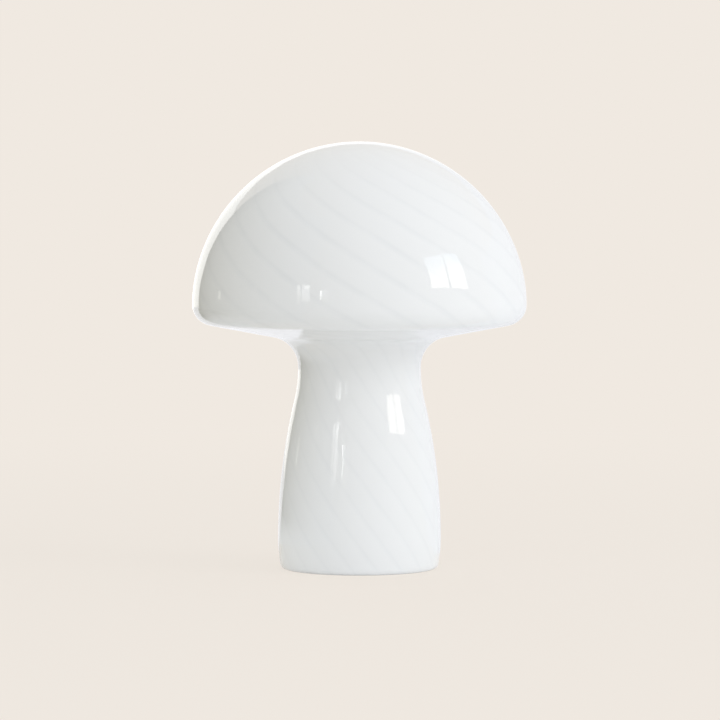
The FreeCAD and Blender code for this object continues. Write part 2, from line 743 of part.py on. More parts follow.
def make_locking_screw():
    """Slotted grub screw in the side of the dome's boss."""
    length = ENTRY_RADIUS - TUBE_RADIUS - THREAD
    grub = doc.addObject("Part::Cylinder", "grub_shaft")
    bind(grub, "Radius", SCREW_RADIUS)
    bind(grub, "Height", length)
    slot = doc.addObject("Part::Box", "grub_slot")
    bind(slot, "Length", SCREW_RADIUS / 2)
    bind(slot, "Width", SCREW_RADIUS * 4)
    bind(slot, "Height", SCREW_RADIUS)
    bind(slot, "Placement.Base.x", -SCREW_RADIUS / 4)
    bind(slot, "Placement.Base.y", -SCREW_RADIUS * 2)
    bind(slot, "Placement.Base.z", length - SCREW_RADIUS / 2)
    screw = doc.addObject("Part::Cut", "locking_screw")
    screw.Label = "locking_screw"
    screw.Base = grub
    screw.Tool = slot
    sideways = FreeCAD.Rotation(FreeCAD.Vector(0, 1, 0), 90.0)
    screw.Placement = FreeCAD.Placement(FreeCAD.Vector(0, 0, 0), sideways)
    bind(screw, "Placement.Base.x", TUBE_RADIUS + THREAD)
    bind(screw, "Placement.Base.z", HOLDER + LOCK_HEIGHT)
    doc.recompute()


def make_insert():
    """Insert that carries the contacts and the threaded shell."""
    rim = HOLDER_RADIUS - HOLDER_WALL - DRILLED
    core = size("insert_core") / 2
    body = turned(
        "holder_insert",
        [
            (0, INSERT_FLOOR), (rim, INSERT_FLOOR), (rim, INSERT_LEDGE),
            (core, INSERT_LEDGE), (core, INSERT_TOP), (0, INSERT_TOP),
        ],
        HOLDER,
    )
    hole = Outline(body, "terminal_hole", "XY_Plane", INSERT_LEDGE)
    hole.circle(size("screw_spacing") / 2, 0, SCREW_RADIUS + THREAD)
    first = pocket(body, hole, INSERT_LEDGE - INSERT_FLOOR)
    repeat(body, [first], TERMINALS)


def make_terminal_screws():
    """Two screws that clamp the cord's cores under the insert."""
    body = new_body("terminal_screws")
    head = size("screw_head_height")
    features = stack(
        body, size("screw_spacing") / 2,
        [
            ("screw_shank", SCREW_RADIUS, INSERT_FLOOR, INSERT_LEDGE - INSERT_FLOOR - THREAD),
            ("screw_head", size("screw_head") / 2, INSERT_FLOOR - head, head),
        ],
    )
    repeat(body, features, TERMINALS)
    bind(body, "Placement.Base.z", HOLDER)


def make_shell():
    """Threaded shell that takes the bulb's cap."""
    inside = size("shell_bore") / 2
    outside = inside + size("shell_sheet")
    flange = size("shell_flange") / 2
    step = INSERT_TOP + size("shell_sheet")
    high = size("shell_top")
    turned(
        "screw_shell",
        [
            (inside, INSERT_TOP), (flange, INSERT_TOP), (flange, step),
            (outside, step), (outside, high), (inside, high),
        ],
        HOLDER,
    )


def make_skirt():
    """Upper half of the lampholder, screwed into the dome over the insert's ledge."""
    inside = size("skirt_bore") / 2
    spigot = HOLDER_RADIUS - HOLDER_WALL - THREAD
    collar = DOME_RIM + size("skirt_collar")
    taper = size("skirt_taper")
    upper = HOLDER_RADIUS - taper
    high = size("skirt_top")
    turned(
        "holder_skirt",
        [
            (inside, INSERT_LEDGE), (spigot, INSERT_LEDGE), (spigot, DOME_RIM), (HOLDER_RADIUS, DOME_RIM),
            (HOLDER_RADIUS, collar), (upper, collar + taper), (upper, high), (inside, high),
        ],
        HOLDER,
    )


def make_centre_contact():
    """Bent brass tongue under the bulb's contact."""
    strip = size("contact_sheet")
    reach = size("contact_reach")
    high = size("bulb_seat") - size("contact_gap")
    body = new_body("centre_contact")
    side = Outline(body, "tongue", "XZ_Plane")
    side.polygon([
        (-reach, INSERT_TOP), (-reach / 4, INSERT_TOP), (reach / 4, high - strip), (reach, high - strip),
        (reach, high), (as_size(0), high), (-reach / 2, INSERT_TOP + strip), (-reach, INSERT_TOP + strip),
    ])
    pad(body, side, size("contact_width"), both_ways=True)
    bind(body, "Placement.Base.z", HOLDER)


# ---------------------------------------------------------------- bulb

BULB = HOLDER + size("bulb_seat")
NECK_INSIDE = size("bulb_neck") / 2 - size("bulb_wall")
WIRE = size("wire_radius")
FILAMENT_LOW = size("filament_low")
FILAMENT_HIGH = size("filament_high")
FILAMENT_CIRCLE = size("filament_circle") / 2


def bulb_wall_line(outline, inset):
    """One face of the bulb's glass: ball, tangent throat arc and straight neck."""
    ball = size("bulb_diameter") / 2 - inset
    neck = size("bulb_neck") / 2 - inset
    centre = size("bulb_length") - size("bulb_diameter") / 2
    neck_top = size("bulb_neck_top")
    # Throat arc: centre (neck + throat, neck_top), touching the ball from outside and the neck.
    rise = centre.number - neck_top.number
    offset = neck.number
    throat = (offset ** 2 + rise ** 2 - ball.number ** 2) / (2 * (ball.number - offset))
    angle = math.degrees(math.atan2(-rise, offset + throat))
    low = size("mount_rim") - size("bulb_wall")
    edges = [
        outline.arc((0.0, centre.number), ball.number, 90.0, angle),
        outline.arc((offset + throat, neck_top.number), throat, angle + 180.0, 180.0),
        outline.line((offset, neck_top.number), (offset, low.number)),
    ]
    outline.join(edges[0], edges[1], "Tangent")
    outline.join(edges[1], edges[2], "Tangent")
    outline.place(edges[0][0], edges[0][1], across=0)
    outline.place(edges[0][0], 3, 0, centre)
    outline.radius(edges[0][0], ball)
    outline.place(edges[1][0], edges[1][2], neck, neck_top)
    outline.add("Vertical", edges[2][0])
    outline.place(edges[2][0], 2, up=low)
    return edges, (0.0, centre.number + ball.number), (offset, low.number)


def make_envelope():
    """Glass of the golf-ball bulb."""
    body = new_body("bulb_envelope")
    outline = Outline(body, "envelope_profile", "XZ_Plane")
    outer, outer_top, outer_low = bulb_wall_line(outline, as_size(0))
    inner, inner_top, inner_low = bulb_wall_line(outline, size("bulb_wall"))
    rim = outline.line(outer_low, inner_low)
    axis = outline.line(inner_top, outer_top)
    outline.join(outer[2], rim)
    outline.add("Coincident", rim[0], rim[2], inner[2][0], inner[2][2])
    outline.add("Coincident", axis[0], axis[1], inner[0][0], inner[0][1])
    outline.add("Coincident", axis[0], axis[2], outer[0][0], outer[0][1])
    revolve(body, outline)
    bind(body, "Placement.Base.z", BULB)


def make_glass_mount():
    """Flared glass stem that closes the neck and holds the wires."""
    tube = size("mount_tube") / 2
    low = size("mount_rim")
    high = size("mount_top")
    skin = size("bulb_wall")
    turned(
        "glass_mount",
        [
            (0, low + skin * 4), (tube, low + skin * 3), (NECK_INSIDE - skin * 2, low),
            (NECK_INSIDE, low), (NECK_INSIDE, low + skin), (tube + skin, low + skin * 6),
            (tube, low + skin * 9), (tube, high), (0, high),
        ],
        BULB,
    )


def make_lead_wires():
    """Lead wires with their ring and cross, square in section, as wide as they really are."""
    base = size("mount_top")
    circle = FILAMENT_CIRCLE
    post = size("wire_post")
    thick = WIRE * 2
    ring_low = FILAMENT_LOW - WIRE
    post_length = FILAMENT_LOW + WIRE - base
    cross_low = FILAMENT_HIGH - WIRE
    middle_length = FILAMENT_HIGH + WIRE - base
    body = new_body("lead_wires")
    ring = Outline(body, "lower_ring", "XY_Plane", ring_low)
    ring.circle(0, 0, circle + WIRE)
    ring.circle(0, 0, circle - WIRE)
    pad(body, ring, thick)
    for name, left, right, back, low, length in (
        ("left_spoke", -circle, -post, WIRE, ring_low, thick),
        ("right_spoke", post, circle, WIRE, ring_low, thick),
        ("left_post", -post - WIRE, -post + WIRE, WIRE, base, post_length),
        ("right_post", post - WIRE, post + WIRE, WIRE, base, post_length),
        ("middle_wire", -WIRE, WIRE, WIRE, base, middle_length),
        ("cross_bar", -circle, circle, WIRE, cross_low, thick),
        ("cross_arm", -WIRE, WIRE, circle, cross_low, thick),
    ):
        bar = Outline(body, name, "XY_Plane", low)
        bar.polygon([(left, -back), (right, -back), (right, back), (left, back)])
        pad(body, bar, length)
    bind(body, "Placement.Base.z", BULB)


def make_filaments():
    """Straight filaments that stand between the ring and the cross."""
    body = new_body("filaments")
    length = FILAMENT_HIGH - FILAMENT_LOW - WIRE * 2
    rod = ("filament", size("filament_radius"), FILAMENT_LOW + WIRE, length)
    features = stack(body, FILAMENT_CIRCLE, [rod])
    repeat(body, features, FILAMENTS)
    bind(body, "Placement.Base.z", BULB)


def make_bulb_cap():
    """Screw cap, with a flared rim that is cemented round the glass."""
    thread = size("cap_thread") / 2
    metal = size("cap_sheet")
    flare = size("cap_flare") / 2
    start = size("cap_start")
    end = size("cap_end")
    height = size("cap_height")
    seat = size("insulator_height")
    foot = size("insulator_top") / 2
    glass = size("bulb_neck") / 2 + size("cap_glass_clearance")
    turned(
        "bulb_cap",
        [
            (foot, seat), (thread, start), (thread, end), (glass + metal, end + metal * 2),
            (flare, height), (flare - metal, height), (glass, end + metal * 4), (glass, end + metal * 3),
            (thread - metal, end), (thread - metal, start + metal), (foot - metal, seat),
        ],
        BULB,
    )


def make_cap_tip():
    """Insulator below the cap, and the contact button under it."""
    lift = size("button_height")
    seat = size("insulator_height")
    turned(
        "cap_insulator",
        [(0, lift), (size("insulator_foot") / 2, lift), (size("insulator_top") / 2, seat), (0, seat)],
        BULB,
    )
    button = size("button_diameter") / 2
    turned(
        "cap_contact",
        [(0, as_size(0)), (button / 2, as_size(0)), (button, lift / 2), (button, lift), (0, lift)],
        BULB,
    )


# ---------------------------------------------------------------- build and write


def sub_parts():
    """The finished pieces: every body and every cut made of primitives."""
    kinds = ("PartDesign::Body", "Part::Cut")
    return [item for item in doc.Objects if item.TypeId in kinds]


def check_document():
    """Stops if any object failed or any sub-part's shape isn't valid."""
    doc.recompute()
    for item in doc.Objects:
        if "Invalid" in item.State or "Error" in item.State:
            raise RuntimeError(f"{item.Name} failed: {item.State}")
    for item in sub_parts():
        if item.Shape.isNull() or not item.Shape.isValid():
            raise RuntimeError(f"{item.Label} has no valid shape")


for make in (
    make_glass, make_pan, make_feet, make_bush, make_tube, make_clamps, make_arm_feet, make_rivets,
    make_arms, make_dome, make_insert, make_terminal_screws, make_shell, make_skirt,
    make_centre_contact, make_locking_screw, make_envelope, make_glass_mount, make_lead_wires,
    make_filaments, make_bulb_cap, make_cap_tip,
):
    make()
check_document()
os.makedirs("parts", exist_ok=True)
for item in sub_parts():
    item.Shape.exportStep(f"parts/{item.Label}.step")
    box = item.Shape.BoundBox
    print(f"{item.Label:16s} solids {len(item.Shape.Solids)}  volume {item.Shape.Volume:10.1f}"
          f"  z {box.ZMin:7.2f} to {box.ZMax:7.2f}  x {box.XMin:7.2f} to {box.XMax:7.2f}")
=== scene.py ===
"""Looks of the mushroom table lamp: opal glass, base unit, bulb and studio.

Laid out as an add-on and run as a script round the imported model. Lengths are metres, +Z is
up, the front is -Y and the cord's notch is at +Y.
"""

import math

import bpy
import numpy as np
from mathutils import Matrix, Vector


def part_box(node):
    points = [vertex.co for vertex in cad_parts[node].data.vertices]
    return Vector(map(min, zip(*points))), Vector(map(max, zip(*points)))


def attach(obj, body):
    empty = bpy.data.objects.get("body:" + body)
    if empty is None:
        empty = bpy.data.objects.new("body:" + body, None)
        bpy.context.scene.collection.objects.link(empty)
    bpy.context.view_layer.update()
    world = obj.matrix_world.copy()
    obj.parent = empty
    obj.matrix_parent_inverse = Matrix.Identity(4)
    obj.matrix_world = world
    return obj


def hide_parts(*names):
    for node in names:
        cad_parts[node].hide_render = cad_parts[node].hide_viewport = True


bl_info = {
    "name": "Mushroom table lamp",
    "version": (1, 0, 0),
    "blender": (4, 5, 0),
    "location": "3D View > Sidebar > Lamp",
    "description": "Opal glass table lamp with its base unit, bulb and studio",
    "category": "Object",
}

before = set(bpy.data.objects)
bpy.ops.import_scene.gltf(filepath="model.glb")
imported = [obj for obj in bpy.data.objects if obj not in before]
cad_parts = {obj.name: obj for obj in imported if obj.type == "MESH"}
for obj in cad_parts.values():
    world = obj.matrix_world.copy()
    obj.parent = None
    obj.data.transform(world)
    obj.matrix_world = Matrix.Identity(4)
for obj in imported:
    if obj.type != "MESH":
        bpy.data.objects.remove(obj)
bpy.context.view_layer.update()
MM = 0.001
FULL = 2 * math.pi


# ---------------------------------------------------------------- sizes and colours


def length(name, description, millimetres):
    """A size that the user may change."""
    return bpy.props.FloatProperty(
        name=name, description=description, default=millimetres * MM, unit="LENGTH", precision=5)


def colour(name, description, value):
    """A colour that the user may change."""
    return bpy.props.FloatVectorProperty(
        name=name, description=description, default=value, subtype="COLOR", min=0.0, max=1.0)


class LampGlassSizes(bpy.types.PropertyGroup):
    """Outside sizes of the blown glass."""

    lamp_height: length("Lamp height", "Top of the cap above the table", 230.0)
    cap_diameter: length("Cap diameter", "Widest part of the cap", 180.0)
    cap_depth: length("Cap depth", "From the top down to the widest part", 87.6)
    shoulder: length("Shoulder", "Profile radius of the cap's side", 75.8)
    rim: length("Rim", "Profile radius of the cap's lower edge", 11.1)
    neck_diameter: length("Neck", "Narrowest part of the stem", 66.0)
    neck_drop: length("Neck drop", "From the widest part of the cap down to the neck", 33.6)
    throat: length("Throat", "Profile radius between the underside and the neck", 16.4)
    waist: length("Waist", "Profile radius below the neck", 79.8)
    foot_diameter: length("Foot diameter", "Widest part of the foot", 87.8)
    foot_height: length("Foot height", "Height of the foot's widest part", 16.7)
    foot: length("Foot", "Profile radius of the foot", 91.0)
    wall: length("Wall", "Thickness of the glass", 3.5)
    edge_outside: length("Outer edge", "Rounding of the ground edge outside", 2.3)
    edge_inside: length("Inner edge", "Rounding of the ground edge inside", 0.7)
    notch_radius: length("Notch", "Half width of the cord notch", 5.0)
    notch_centre: length("Notch centre", "Height of the notch's arch centre", 9.5)
    ripple: length("Ripple", "Depth of the mould's faint twisted ripple", 0.035)


class LampFittingSizes(bpy.types.PropertyGroup):
    """Sizes of the threads, the skirt's grip and the bulb's wires."""

    screw_pitch: length("Bulb thread pitch", "Rise of the bulb's thread in one turn", 2.8222)
    screw_depth: length("Bulb thread depth", "Depth of the bulb's rolled thread", 0.78)
    tube_pitch: length("Tube pitch", "Rise of the tube's thread in one turn", 1.0)
    tube_depth: length("Tube depth", "Depth of the tube's thread", 0.6)
    grip_depth: length("Grip depth", "Depth of the grooves in the skirt's collar", 0.45)
    wire_radius: length("Wire", "Radius of the bulb's wires", 0.35)


class LampColours(bpy.types.PropertyGroup):
    """Main colours of the lamp and its surroundings."""

    opal: colour("Opal glass", "White of the cased glass", (0.90, 0.905, 0.905))
    streak: colour("Streak", "Twisted streaks in the opal", (0.866, 0.874, 0.878))
    enamel: colour("Enamel", "Powder coat of the pan", (0.80, 0.80, 0.77))
    plastic: colour("Lampholder", "Moulded lampholder", (0.74, 0.72, 0.66))
    ground: colour("Background", "Floor and backdrop", (0.871, 0.815, 0.753))


PROPERTY_GROUPS = {
    "lamp_glass": LampGlassSizes,
    "lamp_fittings": LampFittingSizes,
    "lamp_colours": LampColours,
}


# ---------------------------------------------------------------- surfaces

# Points of a softened corner and sides of a wire
CORNER_POINTS, WIRE_SIDES = 5, 12


def shell(grid, poles=(), loop_rows=False, along=None, wrap=0.0):
    """One closed surface from a grid of points, rows by columns, closed round its columns.

    The rows either close on themselves (loop_rows) or end in two pole points. along holds a
    pair of numbers for each point, for the UV map, whose first number grows by wrap in one
    turn of the columns. Returns points, faces of four, faces of three and their UV corners.
    """
    rows, columns = grid.shape[:2]
    if along is None:
        along = np.zeros((rows, columns, 2))
    index = np.arange(rows * columns).reshape(rows, columns)
    chart = along
    if loop_rows:
        index, chart = np.vstack([index, index[:1]]), np.vstack([chart, chart[:1]])
    closing = chart[:, :1] + np.array([wrap, 0.0])
    index, chart = np.hstack([index, index[:, :1]]), np.hstack([chart, closing])
    corners = (slice(None, -1), slice(None, -1)), (slice(None, -1), slice(1, None)), \
        (slice(1, None), slice(1, None)), (slice(1, None), slice(None, -1))
    quads = np.stack([index[c] for c in corners], -1).reshape(-1, 4)
    quad_chart = np.stack([chart[c] for c in corners], -2).reshape(-1, 4, 2)
    points = grid.reshape(-1, 3)
    threes, three_chart = np.zeros((0, 3), int), np.zeros((0, 3, 2))
    for end, pole in zip((0, -1), poles):
        number = len(points)
        points = np.vstack([points, pole])
        first, second = index[end, :-1], index[end, 1:]
        pair = [chart[end, :-1], chart[end, 1:]]
        middle = (pair[0] + pair[1]) / 2
        fan = [np.full(columns, number), second, first] if end == 0 else \
            [np.full(columns, number), first, second]
        fan_chart = [middle, pair[1], pair[0]] if end == 0 else [middle, pair[0], pair[1]]
        threes = np.vstack([threes, np.stack(fan, -1)])
        three_chart = np.vstack([three_chart, np.stack(fan_chart, -2)])
    if volume(points, quads, threes) < 0:
        quads, threes = quads[:, ::-1], threes[:, ::-1]
        quad_chart, three_chart = quad_chart[:, ::-1], three_chart[:, ::-1]
    return points, quads, threes, quad_chart, three_chart


def volume(points, quads, threes):
    """Signed volume inside the faces: a sixth of each triangle's triple product, summed."""
    triangles = np.vstack([quads[:, [0, 1, 2]], quads[:, [0, 2, 3]], threes])
    a, b, c = (points[triangles[:, i]] for i in range(3))
    return float(np.einsum("ij,ij->i", a, np.cross(b, c)).sum() / 6)


def build(name, shells, body, material, nodes):
    """Puts closed surfaces into one piece that rides on a body and replaces CAD nodes."""
    points = np.vstack([part[0] for part in shells])
    starts = np.cumsum([0] + [len(part[0]) for part in shells[:-1]])
    quads, threes = (np.vstack([part[i] + start for part, start in zip(shells, starts)])
                     for i in (1, 2))
    mesh = bpy.data.meshes.new(name)
    mesh.from_pydata(points.tolist(), [], quads.tolist() + threes.tolist())
    chart = np.vstack([part[i].reshape(-1, 2) for i in (3, 4) for part in shells])
    mesh.uv_layers.new(name="wall").data.foreach_set("uv", chart.ravel())
    mesh.polygons.foreach_set("use_smooth", np.ones(len(mesh.polygons), bool))
    mesh.materials.append(finish(material))
    mesh.update()
    piece = bpy.data.objects.new(name, mesh)
    bpy.context.scene.collection.objects.link(piece)
    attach(piece, body)
    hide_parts(*nodes)


def swept(radius, angle, height):
    """Points at a radius, an angle from +X and a height, as one array."""
    radius, angle, height = np.broadcast_arrays(radius, angle, height)
    return np.stack([radius * np.cos(angle), radius * np.sin(angle), height], -1)


def ring_angles(columns):
    """Even angles round the axis."""
    return np.arange(columns) * FULL / columns


def softened(corners, radius):
    """Closed profile whose corners are rounded: at each corner a parabola runs between points
    that lie the radius, or 0.4 of the edge, before and after it."""
    corners = np.asarray(corners, float)
    before, after = np.roll(corners, 1, 0) - corners, np.roll(corners, -1, 0) - corners
    reach = [np.minimum(radius / np.hypot(*way.T), 0.4)[:, None] * way for way in (before, after)]
    share = np.linspace(0, 1, CORNER_POINTS)[None, :, None]
    start, end = (corners + step for step in reach)
    curve = (start[:, None] * (1 - share) ** 2 + corners[:, None] * 2 * share * (1 - share)
             + end[:, None] * share ** 2)
    return curve.reshape(-1, 2)


def stepped(line, least):
    """Closed profile whose edges are cut into as many even steps as are that long or longer."""
    way = np.roll(line, -1, 0) - line
    steps = np.maximum(1, (np.hypot(*way.T) / least).astype(int))
    number = np.arange(steps.sum()) - np.repeat(np.cumsum(steps) - steps, steps)
    share = (number / np.repeat(steps, steps))[:, None]
    return np.repeat(line, steps, 0) + np.repeat(way, steps, 0) * share


def wire(path, radius, closed=False):
    """Round wire: a circle carried along a path, square to the path's direction."""
    path = np.asarray(path, float)
    ahead = np.roll(path, -1, 0) - np.roll(path, 1, 0)
    if not closed:
        ahead[0], ahead[-1] = path[1] - path[0], path[-1] - path[-2]
    ahead /= np.linalg.norm(ahead, axis=1)[:, None]
    level = np.abs(ahead[:, 2:]) < 0.9
    aside = np.cross(ahead, np.where(level, [[0.0, 0.0, 1.0]], [[1.0, 0.0, 0.0]]))
    aside /= np.linalg.norm(aside, axis=1)[:, None]
    across = np.cross(ahead, aside)
    turn = ring_angles(WIRE_SIDES)[None, :, None]
    grid = path[:, None] + radius * (np.cos(turn) * aside[:, None] + np.sin(turn) * across[:, None])
    if closed:
        return shell(grid, loop_rows=True)
    return shell(grid, poles=(path[0], path[-1]))


# ---------------------------------------------------------------- glass

# Columns of the glass: half of those that end round the notch, and those of the rest
ARCH_COLUMNS, SIDE_COLUMNS, TABLE_COLUMNS, PLAIN_COLUMNS = 10, 12, 26, 200
# Rows of the outer face, of the foot's two faces, of each ground rounding and of the inner face
OUTER_ROWS, FOOT_ROWS, EDGE_ROWS, INNER_ROWS = 176, 24, 5, 78
# Points of each arc of the profile and of its straight underside
ARC_POINTS, UNDERSIDE_POINTS = 400, 60
# Below the first height the profile is the stem's; below the second it blends to the notch
STEM_TOP, BLEND_HEIGHT = 100 * MM, 45 * MM
# How far the columns that end round the notch reach along the foot, and the shares of that
# reach, above the foot, that lie over the notch's arch and over its side
NOTCH_REACH = 36 * MM
ARCH_SHARE, SIDE_SHARE = 0.35, 0.30
# Length at the notch's lower corner over which the way into the glass turns upwards
NOTCH_CORNER = 3 * MM
# Streaks: how many, the degrees that they turn for each millimetre down the glass, and where
# along the profile, in millimetres, they stand how many degrees on
STREAKS = 20
STREAK_TURN = 1.06
STREAK_PLACES = (0, 104, 230.5, 265, 301.5, 324)
STREAK_SHIFTS = (10.6, 7.26, 3.17, 1.6, -1.09, -2.6)
# Ripple: the shares of the streaks' wave and of the slow waves, the turns round the glass and
# radians for each metre along it of the two slow waves, and where it starts and how it grows
RIPPLE_SHARES = (0.3, 0.2)
SLOW_WAVES = ((3, 45), (2, -70))
RIPPLE_LOW, RIPPLE_GROWS = 6 * MM, 30 * MM


def profile(glass, inset):
    """One face of the glass as radius, height and length along it, from the top to the table.

    Seven arcs, each tangent to the next: crown, shoulder and rim, then after the straight
    underside throat, waist, flare and foot. An inset moves every piece into the wall.
    """
    top, half = glass.lamp_height, glass.cap_diameter / 2
    wide, low = top - glass.cap_depth, top - glass.cap_depth - glass.neck_drop
    neck, foot = glass.neck_diameter / 2, glass.foot_diameter / 2
    off = half - glass.shoulder
    crown = (off ** 2 + glass.cap_depth ** 2 - glass.shoulder ** 2) \
        / (2 * (glass.cap_depth - glass.shoulder))
    centre = top - crown
    meet = math.atan2(wide - centre, off)
    rim_at = np.array([half - glass.rim, wide])
    throat_at = np.array([neck + glass.throat, low])
    across, down = throat_at - rim_at
    tilt = math.atan2(down, across)
    lean = math.acos((glass.rim + glass.throat) / math.hypot(across, down))
    turn = tilt + lean if math.sin(tilt + lean) < 0 else tilt - lean
    step, rise = foot - neck, low - glass.foot_height
    flare = (step * step + rise * rise) / (2 * step) - glass.waist
    bend = math.asin(rise / (glass.waist + flare))
    sink = math.asin(glass.foot_height / glass.foot)
    arcs = (
        ((0.0, centre), crown - inset, math.pi / 2, meet),
        ((off, wide), glass.shoulder - inset, meet, 0.0),
        (rim_at, glass.rim - inset, 0.0, turn),
        (throat_at, glass.throat + inset, turn + math.pi, math.pi),
        ((neck + glass.waist, low), glass.waist + inset, math.pi, math.pi + bend),
        ((foot - flare, glass.foot_height), flare - inset, bend, 0.0),
        ((foot - glass.foot, glass.foot_height), glass.foot - inset, 0.0, -sink),
    )
    # An arc starts at the end of the one before it, apart from the throat's, which comes
    # after the straight underside
    points = []
    for number, (middle, radius, start, end) in enumerate(arcs):
        angles = np.linspace(start, end, ARC_POINTS)
        arc = np.asarray(middle) + radius * np.stack([np.cos(angles), np.sin(angles)], -1)
        points.append(arc if number in (0, 3) else arc[1:])
        if number == 2:
            share = np.linspace(0, 1, UNDERSIDE_POINTS)[1:-1, None]
            begin = throat_at + (glass.throat + inset) * np.array([math.cos(turn + math.pi),
                                                                   math.sin(turn + math.pi)])
            points.append(arc[-1] * (1 - share) + begin * share)
    line = np.vstack(points)
    line[:, 1] = np.maximum(line[:, 1], 0.0)
    run = np.concatenate([[0.0], np.cumsum(np.hypot(*np.diff(line, axis=0).T))])
    return line[:, 0], line[:, 1], run


def notch_columns(glass):
    """Ends of the columns along the foot's edge, from -X round the notch to +X and on.

    The edge runs over the notch's arch, down its side and along the table. Returned for each
    column: its angle from +Y above the foot, which side it is on, where its end lies across
    and up, the way from its end into the glass, and how far it is along the table.
    """
    radius, centre = glass.notch_radius, glass.notch_centre
    arch, table = radius * math.pi / 2, NOTCH_REACH - radius
    run = np.concatenate([
        np.linspace(0, arch, ARCH_COLUMNS + 1),
        np.linspace(arch, arch + centre, SIDE_COLUMNS + 1)[1:],
        np.linspace(arch + centre, arch + centre + table, TABLE_COLUMNS + 1)[1:],
    ])
    turn = np.minimum(run / radius, math.pi / 2)
    fall = np.clip(run - arch, 0, centre)
    along = np.clip(run - arch - centre, 0, None)
    out = radius * np.sin(turn) + along
    up = centre + radius * np.cos(turn) - fall
    # Near the lower corner the way into the glass turns from across to up
    across = np.where(along > 0, np.clip(1 - along / NOTCH_CORNER, 0, 1), np.sin(turn))
    rise = np.where(fall > 0, np.clip(1 - up / NOTCH_CORNER, 0, 1), np.cos(turn))
    share = along / table
    angle = np.interp(run, (0, arch, arch + centre, run[-1]),
                      (0, ARCH_SHARE, ARCH_SHARE + SIDE_SHARE, 1))
    angle = angle * NOTCH_REACH / (glass.foot_diameter / 2)
    side = np.sign(run)
    half = np.stack([angle, side, out, up, across, rise, share])
    # Mirrored, the angle and the side change sign; past the reach a column only has its angle
    # and rises straight into the glass
    mirrored = half[:, :0:-1] * np.array([-1, -1, 1, 1, 1, 1, 1])[:, None]
    near = np.hstack([mirrored, half])
    far = np.linspace(angle[-1], FULL - angle[-1], PLAIN_COLUMNS + 2)[1:-1]
    plain = np.zeros((7, PLAIN_COLUMNS))
    plain[0], plain[5], plain[6] = far, 1, 1
    return np.hstack([near, plain])


def ripple_wave(streak, angle, run):
    """Share of the ripple's depth: a half, less a cosine of the streaks' count and less the
    product of two slow waves of the angle and the length, each times its share."""
    (turns, along), (other_turns, other_along) = SLOW_WAVES
    slow = np.sin(turns * angle + along * run) * np.cos(other_turns * angle + other_along * run)
    return 0.5 - RIPPLE_SHARES[0] * np.cos(FULL * streak) - RIPPLE_SHARES[1] * slow


def glass_grid(glass):
    """Grid of the whole glass: outer face down, ground edge across, inner face up.

    Above the foot each point is the profile at one angle. In the foot it blends, by a share in
    height and by its square in angle, from the blend height to the column's end on the edge,
    put on the face or inside the wall by its depth. The outer face is pushed in by the ripple.
    Returns the grid and its chart of streaks counted and length along the profile.
    """
    faces = profile(glass, 0.0), profile(glass, glass.wall)
    stems = [[part[face[1] < STEM_TOP][::-1] for part in face] for face in faces]
    angle, side, out, up, across, rise, share = notch_columns(glass)

    def radius_at(height, depth):
        """Radius of the stem at a height and a depth in its wall."""
        outside, inside = (np.interp(height, stem_z, stem_r) for stem_r, stem_z, _ in stems)
        return outside + (inside - outside) * depth / glass.wall

    def face_rows(face, stem, rows):
        """Radius, angle, height and length of the rows from the top to the blend height."""
        stop = np.interp(BLEND_HEIGHT, stem[1], stem[2])
        run = np.linspace(0, stop, rows + 1)[1:, None]
        return np.broadcast_arrays(np.interp(run, face[2], face[0]), angle,
                                   np.interp(run, face[2], face[1]), run)

    def edge_point(inward, depth):
        """Radius, angle and height at a distance into the glass from the columns' ends."""
        height = up + inward * rise
        radius = radius_at(height, depth)
        end = np.arcsin(np.clip((out + inward * across) / radius, -1, 1)) * side
        return radius, end + (angle - end) * share, height

    def foot_rows(inward, depth):
        """Rows from below the blend height to the start of the edge's rounding."""
        _, end_angle, end_height = edge_point(inward, depth)
        part = np.linspace(0, 1, FOOT_ROWS + 1)[1:, None]
        height = BLEND_HEIGHT + (end_height - BLEND_HEIGHT) * part
        return radius_at(height, depth), angle + (end_angle - angle) * part ** 2, height

    def edge_rows():
        """Rounded outer corner, flat ground face and rounded inner corner."""
        quarter = np.linspace(0, math.pi / 2, EDGE_ROWS + 1)
        big, small = glass.edge_outside, glass.edge_inside
        inward = np.concatenate([big * (1 - np.sin(quarter[1:])), small * (1 - np.cos(quarter))])
        depth = np.concatenate([big * (1 - np.cos(quarter[1:])),
                                glass.wall - small + small * np.sin(quarter)])
        return edge_point(inward[:-1, None], depth[:-1, None])

    outer = face_rows(faces[0], stems[0], OUTER_ROWS)
    inner = face_rows(faces[1], stems[1], INNER_ROWS)
    down, back = foot_rows(glass.edge_outside, 0.0), foot_rows(glass.edge_inside, glass.wall)
    rows = zip(outer, down, edge_rows(), back, inner)
    radius, turned, height = (
        np.vstack([first, second, edge, fourth[::-1], last[::-1]])
        for first, second, edge, fourth, last in rows)
    # In the foot the length is the outer profile's at the same height
    foot = slice(OUTER_ROWS, len(radius) - INNER_ROWS)
    run = np.vstack([outer[3], np.interp(height[foot], *stems[0][1:]), inner[3][::-1]])
    shift = STREAK_TURN * run / MM + np.interp(run / MM, STREAK_PLACES, STREAK_SHIFTS)
    streak = (180 - np.degrees(turned) - shift) * STREAKS / 360
    fade = (np.arange(len(radius))[:, None] < OUTER_ROWS + FOOT_ROWS) \
        * np.clip(run / RIPPLE_GROWS, 0, 1) * np.clip((height - RIPPLE_LOW) / RIPPLE_GROWS, 0, 1)
    push = glass.ripple * ripple_wave(streak, turned, run) * fade
    slope_r, slope_z = np.gradient(radius, axis=0), np.gradient(height, axis=0)
    size = np.maximum(np.hypot(slope_r, slope_z), 1e-9)
    radius, height = radius + push * slope_z / size, height - push * slope_r / size
    grid = np.stack([radius * np.sin(turned), radius * np.cos(turned), height], -1)
    return grid, np.stack([streak, run], -1)


